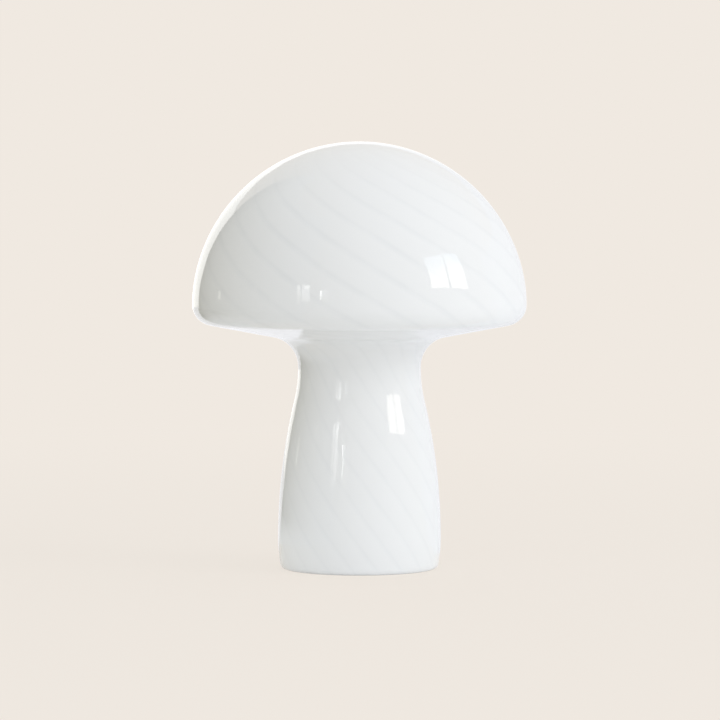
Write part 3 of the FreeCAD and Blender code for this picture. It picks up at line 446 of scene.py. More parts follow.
# ---------------------------------------------------------------- finishes


class Finish:
    """A material, with short calls that add and join its nodes."""

    def __init__(self, name):
        self.material = bpy.data.materials.new(name)
        self.material.use_nodes = True
        self.tree = self.material.node_tree
        self.shader = self.tree.nodes["Principled BSDF"]

    def add(self, kind, **settings):
        """Adds a node to the material."""
        return add_node(self.tree, kind, **settings)

    def join(self, source, target):
        """Joins an output to an input."""
        self.tree.links.new(source, target)

    def raised(self, source, strength, distance):
        """Bump from a height, of a strength and a distance in metres."""
        bump = self.add("ShaderNodeBump", strength=strength, distance=distance)
        self.join(source, bump.inputs["Height"])
        self.join(bump.outputs[0], self.shader.inputs["Normal"])


def add_node(tree, kind, **settings):
    """Adds a node; settings that name an input set it, the others set the node itself."""
    node = tree.nodes.new(kind)
    for key, value in settings.items():
        socket = node.inputs.get(key.replace("_", " ").title())
        if socket is not None and not hasattr(type(node), key):
            socket.default_value = value
        else:
            setattr(node, key, value)
    return node


def feed(tree, value, socket):
    """Joins an output to an input, or sets the input to a number or a colour."""
    if isinstance(value, bpy.types.NodeSocket):
        tree.links.new(value, socket)
    elif socket.type == "RGBA":
        socket.default_value = (*value[:3], 1.0)
    else:
        socket.default_value = value


def math_node(tree, operation, *values):
    """Math node whose inputs are sockets or numbers; returns its output."""
    node = add_node(tree, "ShaderNodeMath", operation=operation)
    for socket, value in zip(node.inputs, values):
        feed(tree, value, socket)
    return node.outputs[0]


def ranged(tree, value, span, ends=(0.0, 1.0), kind="SMOOTHSTEP"):
    """Map Range node that carries a value from a span to between two ends; returns its output."""
    node = add_node(tree, "ShaderNodeMapRange", interpolation_type=kind)
    labels = ("Value", "From Min", "From Max", "To Min", "To Max")
    for label, number in zip(labels, (value, *span, *ends)):
        feed(tree, number, node.inputs[label])
    return node.outputs[0]


def faded(tree, share, span, first, second):
    """Colour that goes from the first to the second as a share runs over a span; the colours
    are values or sockets."""
    mix = add_node(tree, "ShaderNodeMix", data_type="RGBA")
    for number, value in ((0, ranged(tree, share, span)), (6, first), (7, second)):
        feed(tree, value, mix.inputs[number])
    return mix.outputs[2]


def uv_parts(tree, chart):
    """Outputs of the two numbers of a piece's UV map."""
    source = add_node(tree, "ShaderNodeUVMap", uv_map=chart)
    parts = add_node(tree, "ShaderNodeSeparateXYZ")
    tree.links.new(source.outputs["UV"], parts.inputs[0])
    return parts.outputs[:2]


def new_group(name, inputs, outputs):
    """Empty shader node group with named sockets; returns it with its two end nodes."""
    group = bpy.data.node_groups.new(name, "ShaderNodeTree")
    kinds = {"float": "NodeSocketFloat", "colour": "NodeSocketColor", "vector": "NodeSocketVector"}
    for label, (kind, value) in inputs.items():
        socket = group.interface.new_socket(label, in_out="INPUT", socket_type=kinds[kind])
        socket.default_value = value
    for label, kind in outputs.items():
        group.interface.new_socket(label, in_out="OUTPUT", socket_type=kinds[kind])
    return group, group.nodes.new("NodeGroupInput"), group.nodes.new("NodeGroupOutput")


# Noise stays within about a quarter of its middle, so this many times that is about one
NOISE_REACH = 4.0


def surface_grain():
    """Group: a slow mottle of the colour and a fine grain in roughness and height.

    The Object coordinates are stretched, then one noise scales the colour by one plus or
    minus the mottle, and a finer one shifts the roughness by up to half the spread.
    """
    if "surface_grain" in bpy.data.node_groups:
        return bpy.data.node_groups["surface_grain"]
    group, inside, outside = new_group("surface_grain", {
        "Color": ("colour", (0.8, 0.8, 0.8, 1.0)),
        "Stretch": ("vector", (1.0, 1.0, 1.0)),
        "Mottle": ("float", 0.05),
        "Mottle Scale": ("float", 60.0),
        "Grain Scale": ("float", 900.0),
        "Roughness": ("float", 0.4),
        "Spread": ("float", 0.1),
    }, {"Color": "colour", "Roughness": "float", "Height": "float"})
    link = group.links.new
    place = group.nodes.new("ShaderNodeTexCoord")
    stretch = add_node(group, "ShaderNodeVectorMath", operation="MULTIPLY")
    link(place.outputs["Object"], stretch.inputs[0])
    link(inside.outputs["Stretch"], stretch.inputs[1])
    noises = []
    for scale in ("Mottle Scale", "Grain Scale"):
        noise = add_node(group, "ShaderNodeTexNoise", detail=3.0)
        link(stretch.outputs[0], noise.inputs["Vector"])
        link(inside.outputs[scale], noise.inputs["Scale"])
        noises.append(math_node(group, "SUBTRACT", noise.outputs["Fac"], 0.5))
    slow, fine = noises
    change = math_node(group, "MULTIPLY", slow, inside.outputs["Mottle"])
    factor = math_node(group, "ADD", math_node(group, "MULTIPLY", change, NOISE_REACH), 1.0)
    tint = add_node(group, "ShaderNodeVectorMath", operation="SCALE")
    link(inside.outputs["Color"], tint.inputs[0])
    link(factor, tint.inputs["Scale"])
    link(tint.outputs[0], outside.inputs["Color"])
    shift = math_node(group, "MULTIPLY", fine, inside.outputs["Spread"])
    link(math_node(group, "ADD", shift, inside.outputs["Roughness"]), outside.inputs["Roughness"])
    link(fine, outside.inputs["Height"])
    return group


# Streaks' look: how far a slow noise sways them, the sizes of that noise and of the one that
# breaks them, the span and least strength of the breaks, the lengths along the profile over
# which they appear and weaken, and the strength that is left on the stem
SWAY, SWAY_SCALE, BREAK_SCALE = 0.22, 26.0, 70.0
BREAK_SPAN, BREAK_LEAST = (0.3, 0.65), 0.35
STREAKS_APPEAR, STREAKS_WEAKEN, STEM_STRENGTH = (0.03, 0.095), (0.12, 0.19), 0.6


def twisted_streaks():
    """Group: thin dark streaks with a paler side, from the glass's own UV map.

    The first UV number counts the streaks, so a streak lies where it is whole. Its distance
    from the nearest whole number, eased, darkens; the fall of its fraction brightens; and a
    slow noise makes the streaks come and go.
    """
    group, inside, outside = new_group("twisted_streaks", {
        "Color": ("colour", (0.8, 0.8, 0.8, 1.0)),
        "Streak": ("colour", (0.7, 0.7, 0.7, 1.0)),
        "Half Width": ("float", 0.20),
        "Pale Side": ("float", 0.012),
    }, {"Color": "colour", "Height": "float"})
    link = group.links.new
    count, run = uv_parts(group, "wall")
    place = group.nodes.new("ShaderNodeTexCoord")
    drift = add_node(group, "ShaderNodeTexNoise", scale=SWAY_SCALE, detail=2.0)
    breaks = add_node(group, "ShaderNodeTexNoise", scale=BREAK_SCALE, detail=3.0)
    for noise in (drift, breaks):
        link(place.outputs["Object"], noise.inputs["Vector"])
    sway = math_node(group, "SUBTRACT", drift.outputs["Fac"], 0.5)
    count = math_node(group, "ADD", count, math_node(group, "MULTIPLY", sway, SWAY))
    middle = math_node(group, "SUBTRACT", math_node(group, "FRACT", count), 0.5)
    near = math_node(group, "SUBTRACT", 0.5, math_node(group, "ABSOLUTE", middle))
    half = inside.outputs["Half Width"]
    amount = ranged(group, near, (0.0, half), (1.0, 0.0), "SMOOTHERSTEP")
    for factor in (
            ranged(group, breaks.outputs["Fac"], BREAK_SPAN, (BREAK_LEAST, 1.0), "LINEAR"),
            ranged(group, run, STREAKS_APPEAR),
            ranged(group, run, STREAKS_WEAKEN, (1.0, STEM_STRENGTH))):
        amount = math_node(group, "MULTIPLY", amount, factor)
    mix = add_node(group, "ShaderNodeMix", data_type="RGBA")
    link(amount, mix.inputs[0])
    link(inside.outputs["Color"], mix.inputs[6])
    link(inside.outputs["Streak"], mix.inputs[7])
    ramp = math_node(group, "MULTIPLY", middle, inside.outputs["Pale Side"])
    pale = add_node(group, "ShaderNodeVectorMath", operation="SCALE")
    link(mix.outputs[2], pale.inputs[0])
    link(math_node(group, "ADD", ramp, 1.0), pale.inputs["Scale"])
    link(pale.outputs[0], outside.inputs["Color"])
    link(drift.outputs["Fac"], outside.inputs["Height"])
    return group


# Finish of each slot: colour, metallic, roughness, its spread, mottle, mottle scale, grain
# scale, stretch of the grain, height of the grain in metres and other shader inputs
EVEN = (1.0, 1.0, 1.0)
DRAWN = (1.0, 1.0, 0.04)
FINISHES = {
    "white_enamel": ("enamel", 0.0, 0.34, 0.10, 0.015, 40, 700, EVEN, 8e-5, {}),
    "foot_rubber": ((0.030, 0.030, 0.031), 0.0, 0.72, 0.20, 0.10, 150, 1600, EVEN, 4e-5, {}),
    "black_nylon": ((0.022, 0.022, 0.023), 0.0, 0.42, 0.16, 0.06, 120, 2400, EVEN, 3e-5, {}),
    "zinc_steel": ((0.66, 0.67, 0.66), 1.0, 0.30, 0.22, 0.05, 260, 1100, EVEN, 1e-5, {}),
    "spring_steel": ((0.52, 0.52, 0.53), 1.0, 0.26, 0.24, 0.04, 90, 2600, DRAWN, 1e-5, {}),
    "rivet_steel": ((0.60, 0.60, 0.60), 1.0, 0.24, 0.16, 0.03, 300, 1500, EVEN, 1e-5, {}),
    "clear_silicone": ((0.80, 0.81, 0.80), 0.0, 0.38, 0.10, 0.03, 120, 1400, EVEN, 2e-5,
                       {"Transmission Weight": 0.55, "IOR": 1.41}),
    "holder_plastic": ("plastic", 0.0, 0.36, 0.12, 0.015, 60, 1800, EVEN, 2e-5, {}),
    "insert_ceramic": ((0.74, 0.70, 0.62), 0.0, 0.62, 0.16, 0.03, 200, 2200, EVEN, 3e-5, {}),
    "brass": ((0.80, 0.58, 0.26), 1.0, 0.28, 0.20, 0.05, 160, 1800, DRAWN, 8e-6, {}),
    "bulb_glass": ((1.0, 1.0, 1.0), 0.0, 0.015, 0.01, 0.0, 60, 300, EVEN, 0.0,
                   {"Transmission Weight": 1.0, "IOR": 1.47}),
    "wire_nickel": ((0.58, 0.57, 0.55), 1.0, 0.32, 0.20, 0.04, 400, 3000, DRAWN, 5e-6, {}),
    "phosphor": ((0.86, 0.52, 0.07), 0.0, 0.55, 0.12, 0.04, 500, 2600, EVEN, 2e-5, {}),
    "cap_metal": ((0.80, 0.80, 0.81), 1.0, 0.24, 0.18, 0.03, 240, 2000, EVEN, 6e-6, {}),
    "black_glaze": ((0.012, 0.012, 0.013), 0.0, 0.12, 0.08, 0.05, 200, 900, EVEN, 5e-6, {}),
    "solder": ((0.62, 0.62, 0.60), 1.0, 0.38, 0.30, 0.06, 500, 1600, EVEN, 2e-5, {}),
}


# Opal: its gloss, its refraction, and the strength and depth in metres of its slow waver
OPAL_ROUGHNESS, OPAL_IOR, OPAL_WAVER = 0.01, 1.52, (0.35, 0.0006)


def opal_finish():
    """Polished cased opal: a clear gloss over white glass with twisted streaks."""
    look = Finish("opal_glass")
    shades = bpy.context.scene.lamp_colours
    group = look.add("ShaderNodeGroup", node_tree=twisted_streaks())
    group.inputs["Color"].default_value = (*shades.opal, 1.0)
    group.inputs["Streak"].default_value = (*shades.streak, 1.0)
    look.join(group.outputs["Color"], look.shader.inputs["Base Color"])
    look.raised(group.outputs["Height"], *OPAL_WAVER)
    look.shader.inputs["Roughness"].default_value = OPAL_ROUGHNESS
    look.shader.inputs["IOR"].default_value = OPAL_IOR
    return look.material


def plain_finish(slot):
    """A finish from the table, with its grain."""
    tint, metallic, roughness, spread, mottle, slow, fine, stretch, height, others = FINISHES[slot]
    look = Finish(slot)
    if isinstance(tint, str):
        tint = getattr(bpy.context.scene.lamp_colours, tint)
    group = look.add("ShaderNodeGroup", node_tree=surface_grain())
    values = {"Color": (*tint, 1.0), "Stretch": stretch, "Mottle": mottle, "Mottle Scale": slow,
              "Grain Scale": fine, "Roughness": roughness, "Spread": spread}
    for label, value in values.items():
        group.inputs[label].default_value = value
    look.join(group.outputs["Color"], look.shader.inputs["Base Color"])
    look.join(group.outputs["Roughness"], look.shader.inputs["Roughness"])
    look.shader.inputs["Metallic"].default_value = metallic
    if height:
        look.raised(group.outputs["Height"], 1.0, height)
    for label, value in others.items():
        look.shader.inputs[label].default_value = value
    return look.material


MADE = {}


def finish(slot):
    """The material of a slot, made at its first use."""
    if slot not in MADE:
        MADE[slot] = opal_finish() if slot == "opal_glass" else plain_finish(slot)
    return MADE[slot]


# ---------------------------------------------------------------- studio

# Camera: its picture's width and its lens in millimetres, its place and degrees below level
PICTURE_WIDTH, LENS = 36.0, 191.825
EYE, LOOK_DOWN = (0.0003, -2.0654, 0.2125), 2.774
# Angles are degrees from the front towards +X; what is seen by its reflection stands on the
# circle, with the posts a little further out
CIRCLE = 2.0
POSTS = CIRCLE + 0.02
# Panes that light the lamp: left and right angle, low and high edge, and brightness
WINDOWS = (
    ("near_pane", 50.5, 65.0, 0.58, 1.42, 3.3),
    ("far_pane", 66.0, 80.0, 0.54, 1.38, 3.3),
)
# The same panes and the small window on the left as reflections find them: radius, left and
# right angle and left and right height of the sill, the same of the top, and both ends' colours
PANE_GLOW = ((4.4, 4.1, 3.7), (2.3, 2.6, 2.8))
POST_GLOW = ((0.10, 0.10, 0.10), (0.35, 0.36, 0.38))
FOLD_GLOW = ((1.7, 1.65, 1.55), (2.9, 2.85, 2.75))
SHEENS = (
    ("near_pane_sheen", CIRCLE, (50.4, 64.1, 0.605, 0.564), (50.6, 65.6, 1.432, 1.385), *PANE_GLOW),
    ("far_pane_sheen", CIRCLE, (65.6, 79.6, 0.559, 0.508), (66.5, 79.7, 1.435, 1.300), *PANE_GLOW),
    ("pane_post", POSTS, (63.0, 67.0, 0.56, 0.56), (64.5, 67.5, 1.38, 1.38), *POST_GLOW),
    ("fold_a", CIRCLE, (-41.9, -39.6, 0.21, 0.21), (-43.1, -40.7, 0.62, 0.62), *FOLD_GLOW),
    ("fold_a_head", CIRCLE, (-43.1, -40.7, 0.62, 0.62), (-43.5, -41.1, 0.73, 0.73),
     (4.0, 4.0, 3.9), (4.0, 4.0, 3.9)),
    ("fold_b", CIRCLE, (-38.8, -33.4, 0.29, 0.29), (-39.8, -34.2, 0.62, 0.62),
     (2.6, 2.55, 2.5), (3.3, 3.3, 3.3)),
    ("fold_b_head", CIRCLE, (-37.6, -36.5, 0.62, 0.62), (-37.9, -36.7, 0.75, 0.75),
     (6.6, 6.6, 6.5), (6.6, 6.6, 6.5)),
    ("fold_c_head", CIRCLE, (-36.1, -34.2, 0.62, 0.62), (-36.4, -34.4, 0.75, 0.75),
     (4.8, 4.8, 4.7), (4.8, 4.8, 4.7)),
    ("fold_d_head", CIRCLE, (-39.8, -38.4, 0.62, 0.62), (-40.1, -38.7, 0.75, 0.75),
     (3.6, 3.6, 3.5), (3.6, 3.6, 3.5)),
    ("frame_post", POSTS, (-26.0, -25.0, 0.34, 0.34), (-26.5, -25.3, 0.61, 0.61),
     (5.4, 5.4, 5.3), (7.6, 7.6, 7.5)),
    ("frame_rail", CIRCLE, (-25.3, -21.0, 0.575, 0.575), (-25.3, -21.0, 0.61, 0.61),
     (3.0, 3.0, 2.9), (3.0, 3.0, 2.9)),
    ("frame_pane", CIRCLE, (-25.0, -20.4, 0.25, 0.25), (-25.3, -20.9, 0.575, 0.575),
     (1.3, 1.3, 1.1), (1.7, 1.7, 1.65)),
    ("far_post", POSTS, (-76.0, -73.4, 0.36, 0.36), (-76.0, -73.4, 0.60, 0.60),
     (1.0, 0.98, 0.9), (1.6, 1.55, 1.5)),
    ("far_rail", CIRCLE, (-112.0, -109.0, 0.20, 0.20), (-112.0, -109.0, 0.33, 0.33),
     (1.3, 1.25, 1.1), (1.3, 1.25, 1.1)),
)
# Plain cool light of the room, and the colour that the dark side pales to
AMBIENT, AMBIENT_STRENGTH = (0.96, 0.98, 1.0), 0.86
PALE = tuple(AMBIENT_STRENGTH * part for part in AMBIENT)
# Height of the cards that lie on the table
SKIN = 0.001
# White wall and table behind the lamp, which only reflections find: left and right angle,
# radius, and left and right height by row, with their colours on the two sides
WALL = ((100, 216, 2.2, -0.01, -0.01), (100, 216, 2.2, 1.05, 1.05))
TABLE = ((105, 216.5, 0.08, SKIN, SKIN), (105, 216.5, 2.2, SKIN, SKIN))
WALL_GLOW = ((0.90, 0.905, 0.93), (1.55, 1.53, 1.48))
TABLE_GLOW = ((0.88, 0.89, 0.93), (1.05, 1.05, 1.09))
# Shares of their height over which sheens change colour, and of the width for wall and table
SHEEN_FADE, WALL_FADE = (0.2, 0.9), (0.55, 0.8)
# Dark side: its two angles, its radius, height and rows, and its colours to rays that light
# the lamp and to reflections. On the table it starts at a radius of its own, and only
# reflections find it there
DARK_SIDE, DARK_RADIUS, DARK_HEIGHT, DARK_ROWS = (-143.5, -36.0), 2.6, 5.0, 9
DARK_LIGHT, DARK_SHEEN = (0.60, 0.56, 0.40), (0.04, 0.035, 0.015)
DARK_TABLE = 0.14
# Shares of its width, of its height and of its way out from the lamp over which it pales
PALE_SIDE, PALE_TOP, PALE_NEAR = (0.25, 0.88), (0.12, 0.85), (0.0, 0.16)
CARD_COLUMNS = 24
# Floor: half its width and its columns, and its colours, left and right, to rays that light
# the lamp, with the places across where they meet
FLOOR_HALF, FLOOR_COLUMNS = 8, 9
FLOOR_BOUNCE, FLOOR_MEETS = ((0.60, 0.57, 0.49), (0.985, 0.99, 0.995)), (-0.28, -0.04)
# Share of the floor's look that is its shading, and the distances over which that share ends
FLOOR_SHARE, FLOOR_REACH = 0.18, (0.1, 1.1)


def window(name, left, right, base, top, brightness):
    """Upright pane of even brightness that faces the lamp and that only lights it."""
    turn = math.radians((left + right) / 2)
    across = 2 * CIRCLE * math.tan(math.radians((right - left) / 2))
    light = bpy.data.lights.new(name, "AREA")
    light.shape, light.size, light.size_y = "RECTANGLE", across, top - base
    light.energy = brightness * math.pi * across * (top - base)
    lamp = bpy.data.objects.new(name, light)
    lamp.location = CIRCLE * math.sin(turn), -CIRCLE * math.cos(turn), (base + top) / 2
    lamp.rotation_euler = math.pi / 2, 0.0, turn
    lamp.visible_camera = lamp.visible_glossy = lamp.visible_transmission = False
    bpy.context.scene.collection.objects.link(lamp)


def seen_directly(tree):
    """1 for camera, glossy and transmission rays, which see the pale background."""
    path = tree.nodes.new("ShaderNodeLightPath")
    most = math_node(tree, "MAXIMUM", path.outputs["Is Camera Ray"], path.outputs["Is Glossy Ray"])
    return math_node(tree, "MAXIMUM", most, path.outputs["Is Transmission Ray"])


def mixed_shader(tree, share, first, second):
    """Shader that goes from the first to the second by a share."""
    mix = tree.nodes.new("ShaderNodeMixShader")
    for source, socket in zip((share, first, second), mix.inputs):
        tree.links.new(source, socket)
    return mix.outputs[0]


def light_world():
    """World: the background's colour to rays that see it, a plain cool light to the rest."""
    world = bpy.data.worlds.new("studio")
    bpy.context.scene.world = world
    world.use_nodes = True
    tree = world.node_tree
    light, shown = tree.nodes["Background"], tree.nodes.new("ShaderNodeBackground")
    feed(tree, AMBIENT, light.inputs["Color"])
    feed(tree, AMBIENT_STRENGTH, light.inputs["Strength"])
    feed(tree, bpy.context.scene.lamp_colours.ground, shown.inputs["Color"])
    mix = mixed_shader(tree, seen_directly(tree), light.outputs[0], shown.outputs[0])
    tree.links.new(mix, tree.nodes["World Output"].inputs["Surface"])


def stage_piece(name, grid, material):
    """Open sheet of the studio from a grid of points."""
    rows, columns = grid.shape[:2]
    index = np.arange(rows * columns).reshape(rows, columns)
    faces = np.stack([index[:-1, :-1], index[:-1, 1:], index[1:, 1:], index[1:, :-1]], -1)
    mesh = bpy.data.meshes.new(name)
    mesh.from_pydata(grid.reshape(-1, 3).tolist(), [], faces.reshape(-1, 4).tolist())
    mesh.materials.append(material)
    piece = bpy.data.objects.new(name, mesh)
    bpy.context.scene.collection.objects.link(piece)
    return piece


def floor_finish():
    """Pale floor: mostly its own colour, shown evenly, with a share that keeps the shadow."""
    look = Finish("pale_floor")
    tree, shade = look.tree, bpy.context.scene.lamp_colours.ground
    look.shader.inputs["Roughness"].default_value = 0.9
    look.shader.inputs["Specular IOR Level"].default_value = 0.0
    glow = look.add("ShaderNodeEmission")
    feed(tree, shade, glow.inputs["Color"])
    direct = seen_directly(tree)
    place, parts = look.add("ShaderNodeTexCoord"), look.add("ShaderNodeSeparateXYZ")
    away = look.add("ShaderNodeVectorMath", operation="LENGTH")
    for node in (parts, away):
        look.join(place.outputs["Object"], node.inputs[0])
    bounce = faded(tree, parts.outputs[0], FLOOR_MEETS, *FLOOR_BOUNCE)
    look.join(faded(tree, direct, (0.0, 1.0), bounce, shade), look.shader.inputs["Base Color"])
    even = ranged(tree, away.outputs["Value"], FLOOR_REACH, (1 - FLOOR_SHARE, 1.0))
    mix = mixed_shader(tree, math_node(tree, "MULTIPLY", direct, even),
                       look.shader.outputs[0], glow.outputs[0])
    look.join(mix, tree.nodes["Material Output"].inputs["Surface"])
    return look.material


def paint_up(tree, across, up, sill, top):
    """One colour at the sill that goes to another at the top."""
    return faded(tree, up, SHEEN_FADE, sill, top)


def paint_across(tree, across, up, left, right):
    """One colour on the left that goes to another on the right."""
    return faded(tree, across, WALL_FADE, left, right)


def paint_dark(tree, across, up):
    """Dim light, darker in reflections, that pales towards the front and the top."""
    sheen = tree.nodes.new("ShaderNodeLightPath").outputs["Is Glossy Ray"]
    dark = faded(tree, sheen, (0.0, 1.0), DARK_LIGHT, DARK_SHEEN)
    return faded(tree, up, PALE_TOP, faded(tree, across, PALE_SIDE, dark, PALE), PALE)


def paint_dark_table(tree, across, up):
    """The dark side's colours on the table, pale near the lamp."""
    return faded(tree, up, PALE_NEAR, PALE, faded(tree, across, PALE_SIDE, DARK_SHEEN, PALE))


def card(name, rows, rays, paint, *colours):
    """Glowing sheet round the lamp that only the named rays find.

    Each row is a left and right angle, a radius, and a left and right height: an arc that
    rises evenly. Paint gets the material's tree, the shares across and up and the colours,
    and returns the glow's colour.
    """
    look = Finish(name)
    look.shader.inputs["Base Color"].default_value = (0.0, 0.0, 0.0, 1.0)
    look.shader.inputs["Specular IOR Level"].default_value = 0.0
    look.shader.inputs["Emission Strength"].default_value = 1.0
    look.join(paint(look.tree, *uv_parts(look.tree, "card"), *colours),
              look.shader.inputs["Emission Color"])
    left, right, radius, low, high = (np.array(column)[:, None] for column in zip(*rows))
    across = np.linspace(0, 1, CARD_COLUMNS)[None, :]
    up = np.linspace(0, 1, len(rows))[:, None]
    turn = np.radians(left + (right - left) * across)
    grid = np.stack(np.broadcast_arrays(
        radius * np.sin(turn), -radius * np.cos(turn), low + (high - low) * across), -1)
    piece = stage_piece(name, grid, look.material)
    chart = np.stack(np.broadcast_arrays(across, up), -1).reshape(-1, 2)
    corner = np.zeros(len(piece.data.loops), int)
    piece.data.loops.foreach_get("vertex_index", corner)
    piece.data.uv_layers.new(name="card").data.foreach_set("uv", chart[corner].ravel())
    for kind in ("camera", "diffuse", "glossy", "transmission", "shadow"):
        setattr(piece, f"visible_{kind}", kind in rays)


# ---------------------------------------------------------------- fittings

# Columns and rows of the threads: the tube's, its bore's, the shell's and the cap's
TUBE_COLUMNS, TUBE_ROWS, BORE_ROWS = 40, 400, 12
SCREW_COLUMNS, SHELL_ROWS, CAP_ROWS = 56, 80, 84
# The tube's wall, and the length over which the threads of tube and shell run out
TUBE_WALL, RUN_OUT = 1.0 * MM, 1.0 * MM
# Sheet of the shell and the cap, the shell's bore and the cap's crest
SCREW_SHEET, SHELL_BORE, CAP_CREST = 0.3 * MM, 6.98 * MM, 6.9 * MM
# Cap: radius of its foot outside and inside, heights above it where the thread starts and
# ends, the lengths over which it grows and fades, and the flare's rises above that end and
# how much narrower than its edge it is below
CAP_FOOT = (5.6 * MM, 5.3 * MM)
CAP_START, CAP_END, CAP_GROWS, CAP_FADES = 1.0 * MM, 16.4 * MM, 1.6 * MM, 1.4 * MM
FLARE_RISES, FLARE_NARROWS = (0.6 * MM, 1.6 * MM), 0.1 * MM
# Skirt: its bore, its radius below the collar, the collar's ends above the skirt's foot, the
# step above the collar, the softening of its corners, the least step along them, and columns
SKIRT_BORE, SKIRT_FOOT, COLLAR = 9.2 * MM, 11.95 * MM, (3 * MM, 7 * MM)
COLLAR_STEP, SKIRT_SOFTENED, SKIRT_STEP, SKIRT_COLUMNS = 0.7 * MM, 0.35 * MM, 0.8 * MM, 288
# Grooves of the collar: how many, how square, the length over which they run out at its ends
# and the radius that they stay outside of
GROOVES, GROOVE_SQUARE, GROOVE_RUN_OUT, GROOVE_FROM = 36, 1.6, 0.5 * MM, 13.2 * MM
# Bulb: how deep the wires start in the mount, half the way between the lead wires, the radius
# of their bends, points of a straight wire, the length of a rod's round tip, and its columns
WIRE_ROOT, LEAD_PLACE, LEAD_BEND, WIRE_POINTS = 1.0 * MM, 1.5 * MM, 0.9 * MM, 9
ROD_TIP, ROD_COLUMNS = 0.9 * MM, 20


def tube_thread(fittings):
    """Outer radius less the thread's depth times a triangle wave of height and angle."""
    foot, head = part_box("stem_tube")
    angle = ring_angles(TUBE_COLUMNS)[None, :]
    height = np.linspace(foot.z, head.z, TUBE_ROWS)[:, None]
    phase = (height / fittings.tube_pitch - angle / FULL) % 1
    fade = np.clip(np.minimum(height - foot.z, head.z - height) / RUN_OUT, 0, 1)
    outer = swept(head.x - fittings.tube_depth * fade * np.abs(2 * phase - 1), angle, height)
    bore = swept(head.x - TUBE_WALL, angle, np.linspace(head.z, foot.z, BORE_ROWS)[:, None])
    build("tube_thread", [shell(np.vstack([outer, bore]), loop_rows=True)],
          "base", "zinc_steel", ["stem_tube"])


def rolled_wave(fittings, angle, height):
    """Depth of the rolled right-hand thread at an angle and a height: a raised cosine."""
    return fittings.screw_depth * (0.5 - 0.5 * np.cos(FULL * height / fittings.screw_pitch - angle))


def shell_thread(fittings):
    """Sheet whose radius falls by the thread's depth times a cosine wave, above a flange."""
    foot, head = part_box("screw_shell")
    angle = ring_angles(SCREW_COLUMNS)[None, :]
    height = np.linspace(foot.z + SCREW_SHEET, head.z, SHELL_ROWS)[:, None]
    cut = rolled_wave(fittings, angle, height) \
        * np.clip((height - foot.z - RUN_OUT) / RUN_OUT, 0, 1) \
        * np.clip((head.z - height) / RUN_OUT, 0, 1)
    rows = [swept(head.x, angle, foot.z), swept(head.x, angle, foot.z + SCREW_SHEET),
            swept(SHELL_BORE + SCREW_SHEET - cut, angle, height),
            swept(SHELL_BORE - cut, angle, height)[::-1], swept(SHELL_BORE, angle, foot.z)]
    build("shell_thread", [shell(np.vstack(rows), loop_rows=True)],
          "base", "brass", ["screw_shell"])


def cap_thread(fittings):
    """Sheet with the same wave, which grows out of the cap's foot and ends in a flare."""
    foot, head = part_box("bulb_cap")
    start, end = foot.z + CAP_START, foot.z + CAP_END
    angle = ring_angles(SCREW_COLUMNS)[None, :]
    height = np.linspace(start, end, CAP_ROWS)[:, None]
    grown = np.clip((height - start) / CAP_GROWS, 0, 1)
    cut = fittings.screw_depth * (1 - grown) + rolled_wave(fittings, angle, height) * grown
    cut = cut * np.clip((end - height) / CAP_FADES, 0, 1)
    ends = np.array([*(end + rise for rise in FLARE_RISES), head.z])[:, None]
    flare = head.x - FLARE_NARROWS * (ends < head.z)
    rows = [swept(CAP_FOOT[0], angle, foot.z), swept(CAP_CREST - cut, angle, height),
            swept(flare, angle, ends), swept(flare - SCREW_SHEET, angle, ends)[::-1],
            swept(CAP_CREST - SCREW_SHEET - cut, angle, height)[::-1],
            swept(CAP_FOOT[1], angle, foot.z)]
    build("cap_thread", [shell(np.vstack(rows), loop_rows=True)],
          "bulb", "cap_metal", ["bulb_cap"])


def skirt_grip(fittings):
    """Softened profile carried round, less the grooves: a clipped cosine on the collar alone."""
    foot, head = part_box("holder_skirt")
    low, high = (foot.z + place for place in COLLAR)
    top = head.x - COLLAR_STEP
    corners = [(SKIRT_BORE, foot.z), (SKIRT_FOOT, foot.z), (SKIRT_FOOT, low), (head.x, low),
               (head.x, high), (top, high + COLLAR_STEP), (top, head.z), (SKIRT_BORE, head.z)]
    line = stepped(softened(corners, SKIRT_SOFTENED), SKIRT_STEP)
    angle = ring_angles(SKIRT_COLUMNS)[None, :]
    radius, height = line[:, :1], line[:, 1:]
    share = np.clip(np.minimum(height - low, high - height) / GROOVE_RUN_OUT, 0, 1)
    groove = np.clip(np.cos(GROOVES * angle) * GROOVE_SQUARE, -1, 1) * 0.5 + 0.5
    depth = fittings.grip_depth * share * (radius > GROOVE_FROM) * groove
    grid = swept(radius - depth, angle, height)
    build("skirt_grip", [shell(grid, loop_rows=True)], "base", "holder_plastic", ["holder_skirt"])


def bulb_wires(thick, circle):
    """Ring, two lead wires that rise, bend a quarter turn and run out to it, and the support's
    post with its cross."""
    foot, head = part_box("lead_wires")
    low, ring, cross = foot.z - WIRE_ROOT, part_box("filaments")[0].z - thick, head.z - thick
    bend = np.linspace(0, math.pi / 2, 7)[1:]
    place = np.concatenate([np.full(5, LEAD_PLACE), LEAD_PLACE + LEAD_BEND * (1 - np.cos(bend)),
                            np.linspace(LEAD_PLACE + LEAD_BEND, circle, 4)[1:]])
    height = np.concatenate([np.linspace(low, ring - LEAD_BEND, 5),
                             ring - LEAD_BEND * (1 - np.sin(bend)), np.full(3, ring)])
    post, reach = np.linspace(low, cross, WIRE_POINTS), np.linspace(-circle, circle, WIRE_POINTS)
    none, level = np.zeros(WIRE_POINTS), np.full(WIRE_POINTS, cross)
    parts = [wire(swept(circle, ring_angles(48), ring), thick, closed=True)]
    for path in ((-place, 0 * place, height), (place, 0 * place, height), (none, none, post),
                 (reach, none, level), (none, reach, level)):
        parts.append(wire(np.stack(path, -1), thick))
    build("bulb_wires", parts, "bulb", "wire_nickel", ["lead_wires"])


